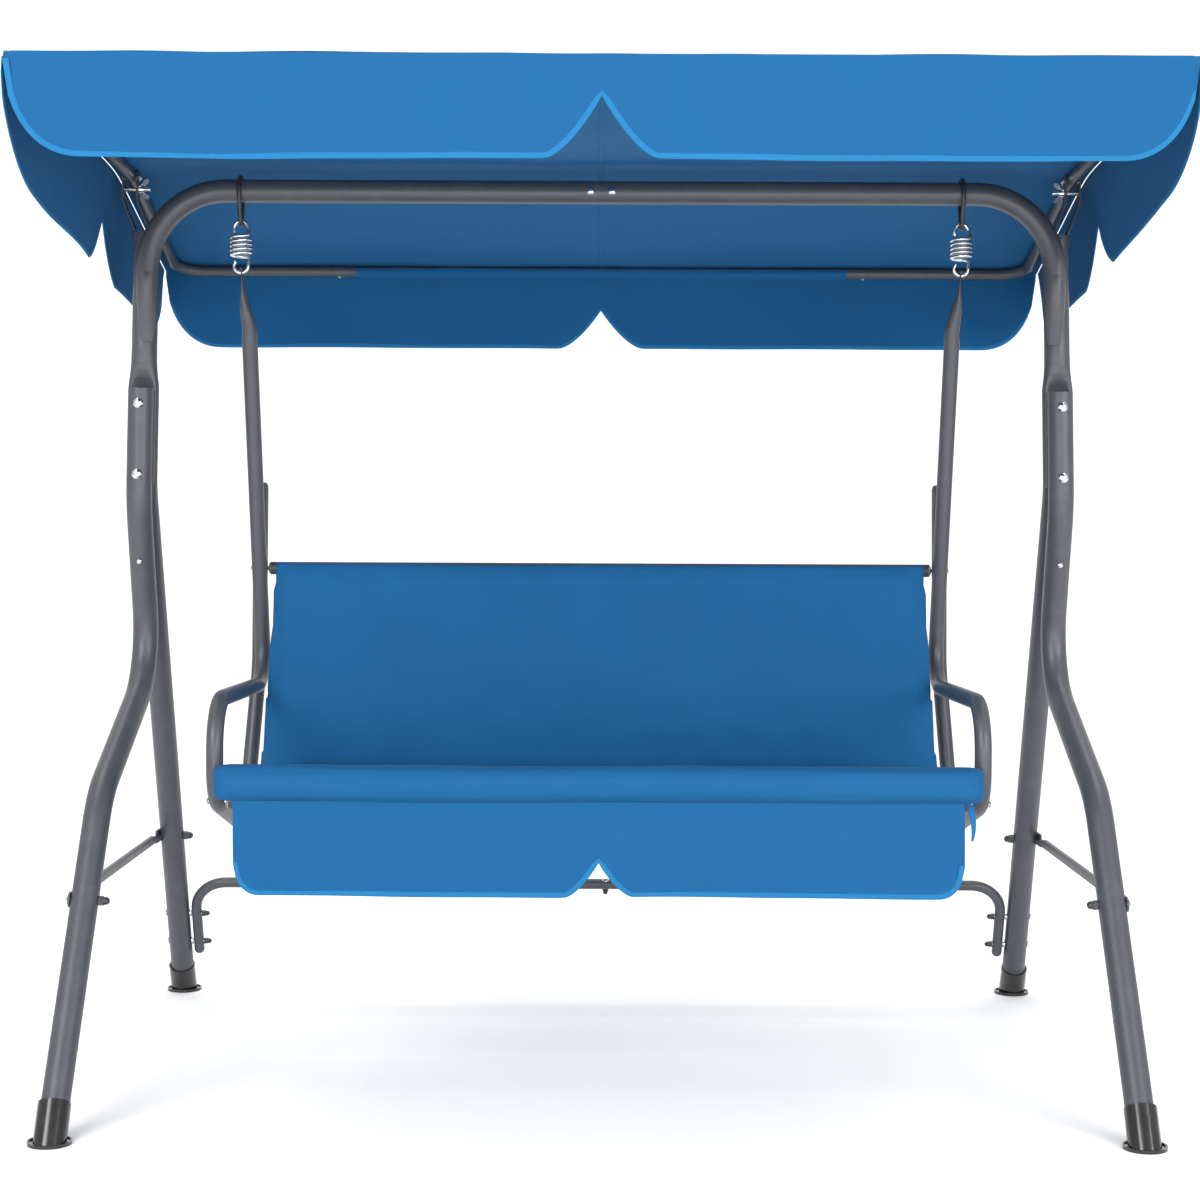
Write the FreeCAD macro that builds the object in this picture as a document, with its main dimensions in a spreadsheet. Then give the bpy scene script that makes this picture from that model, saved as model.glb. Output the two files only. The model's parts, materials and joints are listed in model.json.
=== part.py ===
"""Three-seat canopy swing: every piece as its own named solid, millimetres, +Z up.

The origin is on the floor under the middle of the overall box. X runs across the swing, the front is -Y.
"""
import FreeCAD, Part
import math
import os

import Sketcher

Vec = FreeCAD.Vector
Rot = FreeCAD.Rotation
X_AXIS = Vec(1, 0, 0)
Y_AXIS = Vec(0, 1, 0)
Z_AXIS = Vec(0, 0, 1)

SIZES = {
    # side frames
    "leg_od": 42.0,
    "leg_wall": 1.8,
    "foot_spread": 787.0,
    "foot_depth": 538.0,
    "side_lean": 1.29,
    "leg_top": 1113.0,
    "post_y": 36.0,
    "blade_gap": 4.6,
    "front_straight_end": 925.0,
    "front_knee_y": 126.0,
    "front_knee_z": 641.0,
    "front_shin_y": -242.0,
    "front_shin_z": 469.0,
    "rear_bend_z": 950.0,
    "upright_top": 1372.0,
    "upright_round_end": 1178.0,
    "blade_end": 955.0,
    "joint_bolt_high": 1088.0,
    "joint_bolt_low": 971.0,
    # top beam
    "beam_od": 38.0,
    "beam_wall": 1.6,
    "beam_z": 1436.0,
    "beam_y": -4.2,
    "beam_straight": 617.0,
    "beam_bend": 130.0,
    "beam_joint_x": 39.0,
    "beam_bolt_x": 17.5,
    # lower bars
    "brace_od": 16.0,
    "brace_z": 318.0,
    "stab_od": 19.0,
    "stab_wall": 1.5,
    "stab_height": 250.0,
    "stab_stub_end": 98.0,
    # suspension
    "hook_rod": 7.0,
    "hook_x": 593.0,
    "hang_z": 1384.0,
    "spring_wire": 5.6,
    "spring_coil": 32.0,
    "spring_eye_z": 1300.0,
    # seat frame
    "seat_tube": 26.0,
    "seat_wall": 1.4,
    "hanger_x": 583.5,
    "arm_back_y": 190.0,
    "arm_z": 612.0,
    "arm_front_y": -330.0,
    "seat_rail_z": 470.0,
    "seat_rail_end_y": 140.0,
    "seat_rail_end_z": 345.0,
    "back_top_z": 950.0,
    "rail_od": 25.0,
    "cross_od": 22.0,
    "cushion_half": 558.0,
    # canopy
    "canopy_tube": 19.0,
    "canopy_wall": 1.2,
    "canopy_half": 782.0,
    "canopy_front_y": -680.0,
    "canopy_front_z": 1516.0,
    "canopy_rear_y": 450.0,
    "canopy_rear_z": 1352.0,
    "pivot_z": 1462.0,
    "cloth": 3.0,
    "valance_drop": 137.0,
    "rear_valance_drop": 145.0,
    # fasteners
    "bolt_large": 8.0,
    "bolt_small": 6.0,
}

doc = FreeCAD.newDocument("GliderSwing")
sheet = doc.addObject("Spreadsheet::Sheet", "Sizes")
for row, (word, value) in enumerate(SIZES.items(), start=1):
    sheet.set("A%d" % row, word)
    sheet.set("B%d" % row, str(value))
    sheet.setAlias("B%d" % row, word)
doc.recompute()


def size(word):
    """The value of a driving dimension, read back from the sheet."""
    return float(getattr(sheet, word))


NODES = []


def plane(body, role):
    """One of the body's own origin planes."""
    return [f for f in body.Origin.OriginFeatures if f.Role == role][0]


def new_body(name, placement=None):
    body = doc.addObject("PartDesign::Body", name)
    body.Label = name
    if placement is not None:
        body.Placement = placement
    NODES.append(body)
    return body


def new_sketch(body, name, role, offset=0.0):
    sketch = body.newObject("Sketcher::SketchObject", name)
    sketch.AttachmentSupport = [(plane(body, role), "")]
    sketch.MapMode = "FlatFace"
    if offset:
        sketch.AttachmentOffset = FreeCAD.Placement(Vec(0, 0, offset), Rot())
    return sketch


def bound_circle(sketch, x, y, expression):
    """A circle whose radius follows the sheet."""
    index = sketch.addGeometry(Part.Circle(Vec(x, y, 0), Z_AXIS, 1.0), False)
    if abs(x) + abs(y) < 1e-9:
        sketch.addConstraint(Sketcher.Constraint("Coincident", index, 3, -1, 1))
    else:
        sketch.addConstraint(Sketcher.Constraint("DistanceX", -1, 1, index, 3, x))
        sketch.addConstraint(Sketcher.Constraint("DistanceY", -1, 1, index, 3, y))
    radius = sketch.addConstraint(Sketcher.Constraint("Radius", index, 1.0))
    sketch.renameConstraint(radius, "radius_%d" % index)
    sketch.setExpression("Constraints.radius_%d" % index, expression)
    return index


def filleted(points, radii):
    """Lines and arcs through corner points, each inner corner rounded by its radius."""
    points = [Vec(*p) for p in points]
    start = points[0]
    pieces = []
    for before, corner, after, radius in zip(points, points[1:], points[2:], radii):
        back = (before - corner).normalize()
        ahead = (after - corner).normalize()
        half = back.getAngle(ahead) / 2
        reach = radius / math.tan(half)
        enter = corner + back * reach
        leave = corner + ahead * reach
        inward = (back + ahead).normalize()
        middle = corner + inward * (radius / math.sin(half) - radius)
        pieces.append(("line", start, enter))
        pieces.append(("arc", enter, middle, leave))
        start = leave
    pieces.append(("line", start, points[-1]))
    return pieces


def path_edges(points, radii):
    edges = []
    for piece in filleted(points, radii):
        if piece[0] == "line":
            edges.append(Part.LineSegment(piece[1], piece[2]))
        else:
            edges.append(Part.Arc(piece[1], piece[2], piece[3]))
    return edges


def spine_sketch(body, name, role, points, radii):
    """The centre line of a bent tube, in one of the body's planes."""
    sketch = new_sketch(body, name, role)
    flat = [(p[0], p[1], 0.0) for p in points]
    for curve in path_edges(flat, radii):
        index = sketch.addGeometry(curve, False)
        sketch.addConstraint(Sketcher.Constraint("Block", index))
    return sketch


def bent_tube(name, role, profile_role, points, radii, od, wall, placement=None):
    """A bent tube: its centre line starts at the body's origin, square to profile_role."""
    body = new_body(name, placement)
    spine = spine_sketch(body, name + "_line", role, points, radii)
    profile = new_sketch(body, name + "_section", profile_role)
    bound_circle(profile, 0, 0, "Sizes.%s / 2" % od)
    bound_circle(profile, 0, 0, "Sizes.%s / 2 - Sizes.%s" % (od, wall))
    pipe = body.newObject("PartDesign::AdditivePipe", name + "_tube")
    pipe.Profile = profile
    pipe.Spine = (spine, [])
    doc.recompute()
    body.Tip = pipe
    return body


def drill(body, name, role, centres, diameter, offset=0.0, both=True, flip=False):
    """Round holes square to a plane, through the whole body or on one side only."""
    sketch = new_sketch(body, name + "_centres", role, offset)
    for x, y in centres:
        index = sketch.addGeometry(Part.Circle(Vec(x, y, 0), Z_AXIS, diameter / 2), False)
        sketch.addConstraint(Sketcher.Constraint("Block", index))
    pocket = body.newObject("PartDesign::Pocket", name)
    pocket.Profile = sketch
    pocket.Type = "ThroughAll"
    if both:
        pocket.Midplane = True
    pocket.Reversed = flip
    doc.recompute()
    body.Tip = pocket
    return pocket


def solid(name, shape, placement=None):
    """A node whose form suits neither a sketch feature nor a primitive."""
    feature = doc.addObject("Part::Feature", name)
    feature.Label = name
    feature.Shape = shape
    if placement is not None:
        feature.Placement = placement
    NODES.append(feature)
    return feature


def group(name, shapes):
    """Identical fasteners in one node."""
    return solid(name, Part.makeCompound(shapes))


def place(base, rotation=None):
    return FreeCAD.Placement(Vec(*base), rotation or Rot())


def at(shape, placement):
    copy = shape.copy()
    copy.Placement = placement.multiply(copy.Placement)
    return copy


def swept(points, radii, od, closed=False):
    """A round rod along a filleted path in space."""
    edges = [c.toShape() for c in path_edges(points, radii)]
    wire = Part.Wire(edges)
    start = edges[0].Vertexes[0].Point
    ahead = edges[0].tangentAt(edges[0].FirstParameter)
    ring = Part.Wire(Part.makeCircle(od / 2, start, ahead))
    return wire.makePipeShell([ring], True, False, 2)


def hollow_swept(points, radii, od, wall):
    return swept(points, radii, od).cut(swept(points, radii, od - 2 * wall))


def rod(diameter, start, end):
    start = Vec(*start)
    end = Vec(*end)
    return Part.makeCylinder(diameter / 2, (end - start).Length, start, end - start)


def revolved(profile, axis=Z_AXIS):
    """A turned solid from half-section points (radius, height)."""
    outline = [Vec(r, 0, h) for r, h in profile]
    face = Part.Face(Part.makePolygon(outline + outline[:1]))
    return face.revolve(Vec(0, 0, 0), axis, 360)


def dome_bolt(diameter, length, head, height):
    """A bolt along -Z with a domed head above Z = 0."""
    shank = Part.makeCylinder(diameter / 2, length, Vec(0, 0, -length))
    radius = (head * head / 4 + height * height) / (2 * height)
    ball = Part.makeSphere(radius, Vec(0, 0, height - radius))
    crown = ball.common(Part.makeCylinder(head / 2, height))
    return crown.fuse(shank).removeSplitter()


def hexagon(across, height):
    corners = []
    for step in range(6):
        angle = math.radians(60 * step)
        corners.append(Vec(math.cos(angle), math.sin(angle), 0) * (across / math.sqrt(3)))
    return Part.Face(Part.makePolygon(corners + corners[:1])).extrude(Vec(0, 0, height))


def hex_nut(diameter, across, height, play=0.05):
    return hexagon(across, height).cut(Part.makeCylinder(diameter / 2 + play, height))


def cap_nut(diameter, across, height, play=0.05):
    """A domed nut, its mouth at Z = 0 and its dome along +Z."""
    base = hexagon(across, height * 0.45)
    radius = across * 0.47
    barrel = Part.makeCylinder(radius, height - radius)
    dome = Part.makeSphere(radius, Vec(0, 0, height - radius))
    bore = Part.makeCylinder(diameter / 2 + play, height * 0.75)
    return base.fuse(barrel).fuse(dome).cut(bore).removeSplitter()


def washer(outer, inner, thick):
    return Part.makeCylinder(outer / 2, thick).cut(Part.makeCylinder(inner / 2, thick))


SIDES = (("left", -1), ("right", 1))
SIDE_TURN = {s: Rot(Y_AXIS, -s * size("side_lean")) for _, s in SIDES}
SIDE_PLACE = {s: place((s * size("foot_spread"), 0, 0), SIDE_TURN[s]) for _, s in SIDES}
TOWARDS_X = Rot(Z_AXIS, X_AXIS)
TOWARDS_Y = Rot(Z_AXIS, Y_AXIS)
AWAY_X = Rot(Z_AXIS, X_AXIS * -1)
AWAY_Y = Rot(Z_AXIS, Y_AXIS * -1)


def outward(s):
    return TOWARDS_X if s > 0 else AWAY_X


def inward(s):
    return AWAY_X if s > 0 else TOWARDS_X


# ---------------------------------------------------------------- legs
leg_r = size("leg_od") / 2
leg_axis = leg_r + size("blade_gap") / 2
leg_top = size("leg_top")
foot = size("foot_depth")
bolt_l = size("bolt_large")
bolt_s = size("bolt_small")
hole_l = bolt_l + 0.6
hole_s = bolt_s + 0.6
foot_rise = 22.0
post_y = size("post_y")
front_top_y = post_y - leg_axis
rear_top_y = post_y + leg_axis
rear_bend_radius = 110.0

front_corners = [
    (front_top_y, size("front_straight_end")),
    (size("front_knee_y"), size("front_knee_z")),
    (size("front_shin_y"), size("front_shin_z")),
]
front_slope = (size("front_shin_y") + foot) / size("front_shin_z")
front_end = (-foot + foot_rise * front_slope, foot_rise)
rear_slope = (foot - rear_top_y) / size("rear_bend_z")
rear_end = (foot - foot_rise * rear_slope, foot_rise)


def leg_points(top_y, corners, end):
    """Corner points of a leg's centre line measured from its top."""
    points = [(0.0, 0.0)]
    points += [(y - top_y, z - leg_top) for y, z in corners + [end]]
    return points


def front_y(z):
    """Where the front leg's shin is at a height."""
    return -foot + z * front_slope


def rear_y(z):
    return foot - z * rear_slope


joint_heights = (size("joint_bolt_high"), size("joint_bolt_low"))
brace_z = size("brace_z")
stab_turn = math.atan(rear_slope)
stab_bolts = (117.0, 181.0)
screw_z = 826.0
thigh_slope = (size("front_knee_y") - front_top_y) / (size("front_straight_end") - size("front_knee_z"))
screw_y = front_top_y + (size("front_straight_end") - screw_z) * thigh_slope
screw_hole = 4.4

for side, s in SIDES:
    to_top = SIDE_PLACE[s].multiply(place((0, front_top_y, leg_top)))
    leg = bent_tube("front_leg_" + side, "YZ_Plane", "XY_Plane",
                    leg_points(front_top_y, front_corners, front_end), [200.0, 120.0, 150.0],
                    "leg_od", "leg_wall", to_top)
    drill(leg, "front_joint_holes_" + side, "XZ_Plane", [(0, h - leg_top) for h in joint_heights], hole_l)
    drill(leg, "front_brace_hole_" + side, "YZ_Plane",
          [(front_y(brace_z) - front_top_y, brace_z - leg_top)], hole_l)
    drill(leg, "front_screw_hole_" + side, "XZ_Plane", [(0, screw_z - leg_top)], screw_hole,
          offset=front_top_y - screw_y, both=False, flip=True)
    to_top = SIDE_PLACE[s].multiply(place((0, rear_top_y, leg_top)))
    leg = bent_tube("rear_leg_" + side, "YZ_Plane", "XY_Plane",
                    leg_points(rear_top_y, [(rear_top_y, size("rear_bend_z"))], rear_end), [rear_bend_radius],
                    "leg_od", "leg_wall", to_top)
    drill(leg, "rear_joint_holes_" + side, "XZ_Plane", [(0, h - leg_top) for h in joint_heights], hole_l)
    side_holes = [(rear_y(brace_z) - rear_top_y, brace_z - leg_top)]
    for along in stab_bolts:
        z = along * math.cos(stab_turn)
        side_holes.append((rear_y(z) - rear_top_y, z - leg_top))
    drill(leg, "rear_side_holes_" + side, "YZ_Plane", side_holes, hole_l)


# ---------------------------------------------------------------- uprights
def closed_spline(points):
    curve = Part.BSplineCurve()
    curve.interpolate(points, PeriodicFlag=True)
    return Part.Wire(curve.toShape())


lobe_depth = 11.0


def blade_section(z, press, half_width, round_r=leg_r):
    """A tube's section pressed from front and back, from round (0) to a double crescent (1)."""
    points = []
    for step in range(32):
        angle = 2 * math.pi * step / 32
        x_round = round_r * math.cos(angle)
        y_round = round_r * math.sin(angle)
        x_flat = half_width * math.cos(angle)
        cradle = leg_axis - math.sqrt(max((leg_r + 0.4) ** 2 - x_flat ** 2, 0.0))
        depth = (cradle ** -4 + lobe_depth ** -4) ** -0.25
        y_flat = math.copysign(depth * math.sqrt(max(1 - math.cos(angle) ** 6, 0.0)), math.sin(angle))
        x = x_round + (x_flat - x_round) * press
        y = y_round + (y_flat - y_round) * press
        points.append(Vec(x, y, z))
    return closed_spline(points)


upright_top = size("upright_top")
round_end = size("upright_round_end")
blade_half = 25.5
for side, s in SIDES:
    tube = Part.makeCylinder(leg_r, upright_top - round_end, Vec(0, 0, round_end))
    tube = tube.cut(Part.makeCylinder(leg_r - size("leg_wall"), upright_top - round_end, Vec(0, 0, round_end)))
    sections = [blade_section(size("blade_end"), 1.0, blade_half),
                blade_section(leg_top + 2.5, 1.0, blade_half),
                blade_section(leg_top + 10, 0.86, blade_half),
                blade_section(leg_top + 20, 0.55, blade_half),
                blade_section(leg_top + 32, 0.27, blade_half),
                blade_section(leg_top + 46, 0.09, blade_half),
                blade_section(round_end, 0.0, blade_half, leg_r + 0.15)]
    blade = Part.makeLoft(sections, True, True)
    shape = tube.fuse(blade)
    for height in joint_heights:
        shape = shape.cut(rod(hole_l, (0, -40, height), (0, 40, height)))
    solid("upright_" + side, shape, SIDE_PLACE[s].multiply(place((0, post_y, 0))))

joint_bolts = []
joint_nuts = []
grip = leg_axis + leg_r + 0.15
for side, s in SIDES:
    for height in joint_heights:
        bolt = dome_bolt(bolt_l, 2 * grip + 8.5, 17.0, 4.6)
        bolt_at = place((0, post_y - grip, height), AWAY_Y)
        joint_bolts.append(at(bolt, SIDE_PLACE[s].multiply(bolt_at)))
        nut_at = place((0, post_y + grip + 0.7, height), TOWARDS_Y)
        joint_nuts.append(at(cap_nut(bolt_l, 13.0, 15.0), SIDE_PLACE[s].multiply(nut_at)))
group("leg_joint_bolts", joint_bolts)
group("leg_joint_nuts", joint_nuts)

leg_screws = []
screw_seat = screw_y - leg_r / math.cos(math.atan(thigh_slope)) - 2.2
for side, s in SIDES:
    screw = dome_bolt(screw_hole - 0.4, 12.0, 9.5, 3.0)
    leg_screws.append(at(screw, SIDE_PLACE[s].multiply(place((0, screw_seat, screw_z), AWAY_Y))))
group("leg_screws", leg_screws)

# ---------------------------------------------------------------- foot caps
cap_wall = 3.0
flange = 64.0
for side, s in SIDES:
    for where, direction, slope in (("front", -1, front_slope), ("rear", 1, rear_slope)):
        axis_up = Vec(0, -direction * slope, 1).normalize()
        low = Vec(0, direction * foot, 0)
        sleeve = Part.makeCylinder(leg_r + cap_wall, 120, low - axis_up * 60, axis_up)
        top = low + axis_up * 66
        trim = Part.makeCylinder(80, 80, top, axis_up)
        floor = Part.makeBox(300, 300, 200, Vec(-150, direction * foot - 150, -200))
        disc = Part.makeCylinder(flange / 2, 3.2, low)
        rim = washer(flange, flange - 5, 5.4)
        rim.translate(low)
        end = front_end if direction < 0 else rear_end
        seat = Vec(0, end[0], end[1]) - axis_up * 0.2
        bore = Part.makeCylinder(leg_r + 0.25, 200, seat, axis_up)
        shape = sleeve.cut(trim).cut(floor).fuse(disc).fuse(rim).cut(bore)
        shape = at(shape, place((s * size("foot_spread"), 0, 0)))
        lean_bore = at(bore, SIDE_PLACE[s])
        solid("foot_cap_%s_%s" % (where, side), shape.cut(lean_bore).removeSplitter())

# ---------------------------------------------------------------- top beam
beam_r = size("beam_od") / 2
beam_y = size("beam_y")
beam_z = size("beam_z")
bend = size("beam_bend")
joint_x = size("beam_joint_x")
straight = size("beam_straight")
beam_bolts_x = (-size("beam_bolt_x"), size("beam_bolt_x"))
drop_tilt = 2.0
turn = math.radians(90 - drop_tilt)
neck_r = beam_r - size("beam_wall") - 0.15
beam_bore = beam_r - size("beam_wall")
drop_run = bend * math.tan(turn / 2) + 8.0
corner_x = straight + bend * math.tan(turn / 2)
drop_end = (corner_x + drop_run * math.cos(turn), beam_y, beam_z - drop_run * math.sin(turn))


def ellipse_wire(x, y, z, rx, ry):
    curve = Part.Ellipse(Vec(x, y, z), max(rx, ry), min(rx, ry))
    edge = Part.Edge(curve)
    if ry > rx:
        edge.rotate(Vec(x, y, z), Z_AXIS, 90)
    return Part.Wire(edge)


def beam_shape(inner_x):
    """A right half: straight run, bend down and a crimped nose lying on the upright."""
    line = [(inner_x, beam_y, beam_z), (corner_x, beam_y, beam_z), drop_end]
    tube = hollow_swept(line, [bend], 2 * beam_r, size("beam_wall"))
    nose = Part.makeLoft([
        ellipse_wire(0, 0, 0, beam_r + 0.14, beam_r + 0.12),
        ellipse_wire(0, 1.0, -40, beam_r * 0.88, beam_r * 0.93),
        ellipse_wire(0, 9.0, -85, beam_r * 0.72, beam_r * 0.45),
        ellipse_wire(0, 15.6, -112, beam_r * 0.5, beam_r * 0.12),
    ], True, False)
    nose = nose.cut(Part.makeCylinder(beam_bore, 12, Vec(0, 0, -12)))
    return tube.fuse(at(nose, place(drop_end, Rot(Y_AXIS, -drop_tilt))))


def beam_spigot():
    """The necked end that reaches into the other half, held by a swaged ring."""
    neck = rod(2 * neck_r, (-joint_x - 30, beam_y, beam_z), (joint_x, beam_y, beam_z))
    ring = rod(2 * neck_r + 1.5, (-joint_x - 24, beam_y, beam_z), (-joint_x - 12, beam_y, beam_z))
    bore = rod(2 * neck_r - 3.0, (-joint_x - 40, beam_y, beam_z), (joint_x + 10, beam_y, beam_z))
    return neck.fuse(ring).cut(bore)


right_beam = beam_shape(-joint_x)
left_beam = beam_shape(joint_x).mirror(Vec(0, 0, 0), X_AXIS).fuse(beam_spigot())
for x in beam_bolts_x:
    hole = rod(hole_s, (x, beam_y - 60, beam_z), (x, beam_y + 60, beam_z))
    left_beam = left_beam.cut(hole)
    right_beam = right_beam.cut(hole)
solid("beam_left", left_beam)
solid("beam_right", right_beam)
beam_bolt = dome_bolt(bolt_s, 2 * beam_r + 8, 13.0, 3.8)
group("beam_bolts", [at(beam_bolt, place((x, beam_y - beam_r - 0.15, beam_z), AWAY_Y)) for x in beam_bolts_x])
beam_nut = hex_nut(bolt_s, 10.0, 5.0)
group("beam_nuts", [at(beam_nut, place((x, beam_y + beam_r + 0.15, beam_z), TOWARDS_Y)) for x in beam_bolts_x])

# ---------------------------------------------------------------- side braces
brace_r = size("brace_od") / 2
tab_x = leg_r + 1.7
for side, s in SIDES:
    y_front = front_y(brace_z)
    y_rear = rear_y(brace_z)

    def flat_section(y, half_thick, half_tall):
        curve = Part.Ellipse(Vec(0, 0, 0), max(half_tall, half_thick), min(half_tall, half_thick))
        edge = Part.Edge(curve)
        edge.Placement = FreeCAD.Placement(Vec(s * tab_x, y, brace_z), Rot(X_AXIS, Z_AXIS, Y_AXIS, "XZY"))
        return Part.Wire(edge)

    body = Part.makeLoft([flat_section(y_front + 34, 1.5, 11.5), flat_section(y_front + 74, brace_r - 0.1, brace_r),
                          flat_section(y_rear - 74, brace_r - 0.1, brace_r), flat_section(y_rear - 34, 1.5, 11.5)],
                         True, True)
    shape = body
    for y, reach in ((y_front, 36), (y_rear, -36)):
        pad = Part.makeCylinder(11.5, 3.0, Vec(s * tab_x - 1.5, y, brace_z), X_AXIS)
        tab = Part.makeBox(3.0, abs(reach), 23.0, Vec(s * tab_x - 1.5, min(y, y + reach), brace_z - 11.5))
        shape = shape.fuse(pad).fuse(tab)
    for y in (y_front, y_rear):
        shape = shape.cut(rod(hole_l, (s * tab_x - 9, y, brace_z), (s * tab_x + 9, y, brace_z)))
    solid("side_brace_" + side, shape.removeSplitter(), SIDE_PLACE[s])

brace_bolts = []
brace_nuts = []
head_x = tab_x + 1.5 + 0.15
for side, s in SIDES:
    for y in (front_y(brace_z), rear_y(brace_z)):
        bolt = dome_bolt(bolt_l, head_x + leg_r + 9.5, 17.0, 4.6)
        brace_bolts.append(at(bolt, SIDE_PLACE[s].multiply(place((s * head_x, y, brace_z), outward(s)))))
        nut = cap_nut(bolt_l, 13.0, 17.0)
        nut_at = place((-s * (leg_r + 0.15), y, brace_z), inward(s))
        brace_nuts.append(at(nut, SIDE_PLACE[s].multiply(nut_at)))
group("brace_bolts", brace_bolts)
group("brace_cap_nuts", brace_nuts)

# ---------------------------------------------------------------- stabiliser
stab_r = size("stab_od") / 2
stab_h = size("stab_height")
stab_gap = 4.0
lean = math.radians(size("side_lean"))
stub_x = size("foot_spread") - leg_r - stab_gap - stab_r
slant = Rot(X_AXIS, math.degrees(stab_turn))
stab_place = place((0, foot, 0), slant)


def stub_offset(along):
    """How far in the leaning leg has come at a distance along it."""
    return stub_x - along * math.cos(stab_turn) * math.tan(lean)


def stab_line(s, inner_x):
    low = size("stab_stub_end")
    return [(inner_x, 0, stab_h), (s * stub_offset(stab_h), 0, stab_h), (s * stub_offset(low), 0, low)]


def stab_half(s, inner_x, bore_x, spigot_x=None):
    """Half of the stabiliser bar, bent down into a round-ended stub at the leg."""
    bore_r = stab_r - size("stab_wall")
    tip = Vec(*stab_line(s, inner_x)[-1])
    outer = swept(stab_line(s, inner_x), [60.0], 2 * stab_r).fuse(Part.makeSphere(stab_r, tip))
    inner = swept(stab_line(s, bore_x), [60.0], 2 * bore_r)
    if spigot_x is not None:
        neck = bore_r - 0.12
        outer = outer.fuse(rod(2 * neck, (bore_x, 0, stab_h), (spigot_x, 0, stab_h)))
        inner = inner.fuse(rod(2 * neck - 2.4, (bore_x - 4, 0, stab_h), (spigot_x + 4, 0, stab_h)))
    return outer.cut(inner)


stab_joint = 8.0
stab_left = stab_half(-1, -stab_joint, -stab_joint - 12, 34.0)
stab_right = stab_half(1, -stab_joint, -stab_joint)
centre_bolt_x = 13.0
hole = rod(hole_s, (centre_bolt_x, 0, stab_h - 30), (centre_bolt_x, 0, stab_h + 30))
stab_left = stab_left.cut(hole)
stab_right = stab_right.cut(hole)


def in_side(s, along, across):
    """A place on the rear leg, by distance from the foot and distance from its centre plane."""
    z = along * math.cos(stab_turn)
    return SIDE_PLACE[s].multiply(place((s * across, rear_y(z), z)))


stab_shapes = {-1: at(stab_left, stab_place), 1: at(stab_right, stab_place)}
stab_bolt_list = []
stab_nut_list = []
spacer_list = []
stub_face = -leg_r - stab_gap - 2 * stab_r
for side, s in SIDES:
    for along in stab_bolts:
        hole = at(rod(hole_l, (-60, 0, 0), (60, 0, 0)), in_side(s, along, -30))
        stab_shapes[s] = stab_shapes[s].cut(hole)
        length = leg_r - stub_face + 9.0
        bolt = at(dome_bolt(bolt_s, length, 13.0, 3.8), place((0, 0, 0), outward(s)))
        stab_bolt_list.append(at(bolt, in_side(s, along, leg_r + 0.15)))
        nut = at(cap_nut(bolt_s, 10.0, 14.0), place((0, 0, 0), inward(s)))
        stab_nut_list.append(at(nut, in_side(s, along, stub_face - 0.5)))
        ring = at(washer(13.0, bolt_s + 0.4, stab_gap - 0.9), place((0, 0, 0), inward(s)))
        spacer_list.append(at(ring, in_side(s, along, -leg_r - 0.35)))
    solid("stabiliser_" + side, stab_shapes[s])
centre_bolt = dome_bolt(bolt_s, 2 * stab_r + 8, 13.0, 3.8)
stab_bolt_list.append(at(centre_bolt, stab_place.multiply(place((centre_bolt_x, 0, stab_h + stab_r + 0.15)))))
centre_nut = at(cap_nut(bolt_s, 10.0, 13.0), place((0, 0, 0), Rot(X_AXIS, 180)))
stab_nut_list.append(at(centre_nut, stab_place.multiply(place((centre_bolt_x, 0, stab_h - stab_r - 0.15)))))
group("stabiliser_bolts", stab_bolt_list)
group("stabiliser_cap_nuts", stab_nut_list)
group("stabiliser_spacers", spacer_list)

# ---------------------------------------------------------------- canopy brackets
pivot_z = size("pivot_z")
half_w = size("canopy_half")
tube_r = size("canopy_tube") / 2
plate = 2.5
cheek = tube_r + 0.8
ear = 12.0
clamp_y = post_y + 4.0
clamp_z = pivot_z - 17.5
play_hole = bolt_s + 0.1
for side, s in SIDES:
    top = SIDE_PLACE[s].multiply(place((0, post_y, upright_top)))
    base = top.Base
    collar = Part.makeCylinder(leg_r + 2.2, 17, Vec(0, 0, -16.0)).cut(Part.makeCylinder(leg_r + 0.2, 16.2, Vec(0, 0, -16.2)))
    collar = at(collar, top)
    shape = collar
    for cheek_x, foot_x in ((half_w + cheek, 16.0), (half_w - cheek - plate, -8.0)):
        low_x = s * base.x + foot_x
        knee = 1425.0
        outline = [(low_x, base.z + 0.4), (low_x + plate, base.z + 0.4), (cheek_x + plate, knee),
                   (cheek_x + plate, pivot_z), (cheek_x, pivot_z), (cheek_x, knee)]
        corners = [Vec(s * x, post_y - ear, z) for x, z in outline]
        wing = Part.Face(Part.makePolygon(corners + corners[:1])).extrude(Vec(0, 2 * ear, 0))
        crown = rod(2 * ear, (s * cheek_x, post_y, pivot_z), (s * (cheek_x + plate), post_y, pivot_z))
        shape = shape.fuse(wing).fuse(crown)
    shape = shape.cut(rod(hole_s, (s * 740, post_y, pivot_z), (s * 840, post_y, pivot_z)))
    shape = shape.cut(rod(hole_s, (s * 740, clamp_y, clamp_z), (s * 840, clamp_y, clamp_z)))
    solid("canopy_bracket_" + side, shape.removeSplitter())

bracket_bolts = []
pivot_nuts = []
outer_face = half_w + cheek + plate + 0.15
inner_face = half_w - cheek - plate - 0.15
for side, s in SIDES:
    reach = outer_face - inner_face
    bolt = at(dome_bolt(bolt_s, reach + 5, 11.0, 3.0), place((s * outer_face, post_y, pivot_z), outward(s)))
    bracket_bolts.append(bolt)
    pivot_nuts.append(at(hex_nut(bolt_s, 10.0, 4.0), place((s * inner_face, post_y, pivot_z), inward(s))))
    bolt = at(dome_bolt(bolt_s, reach + 19, 11.0, 3.0), place((s * outer_face, clamp_y, clamp_z), outward(s)))
    bracket_bolts.append(bolt)
group("canopy_bracket_bolts", bracket_bolts)
group("canopy_pivot_nuts", pivot_nuts)


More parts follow.
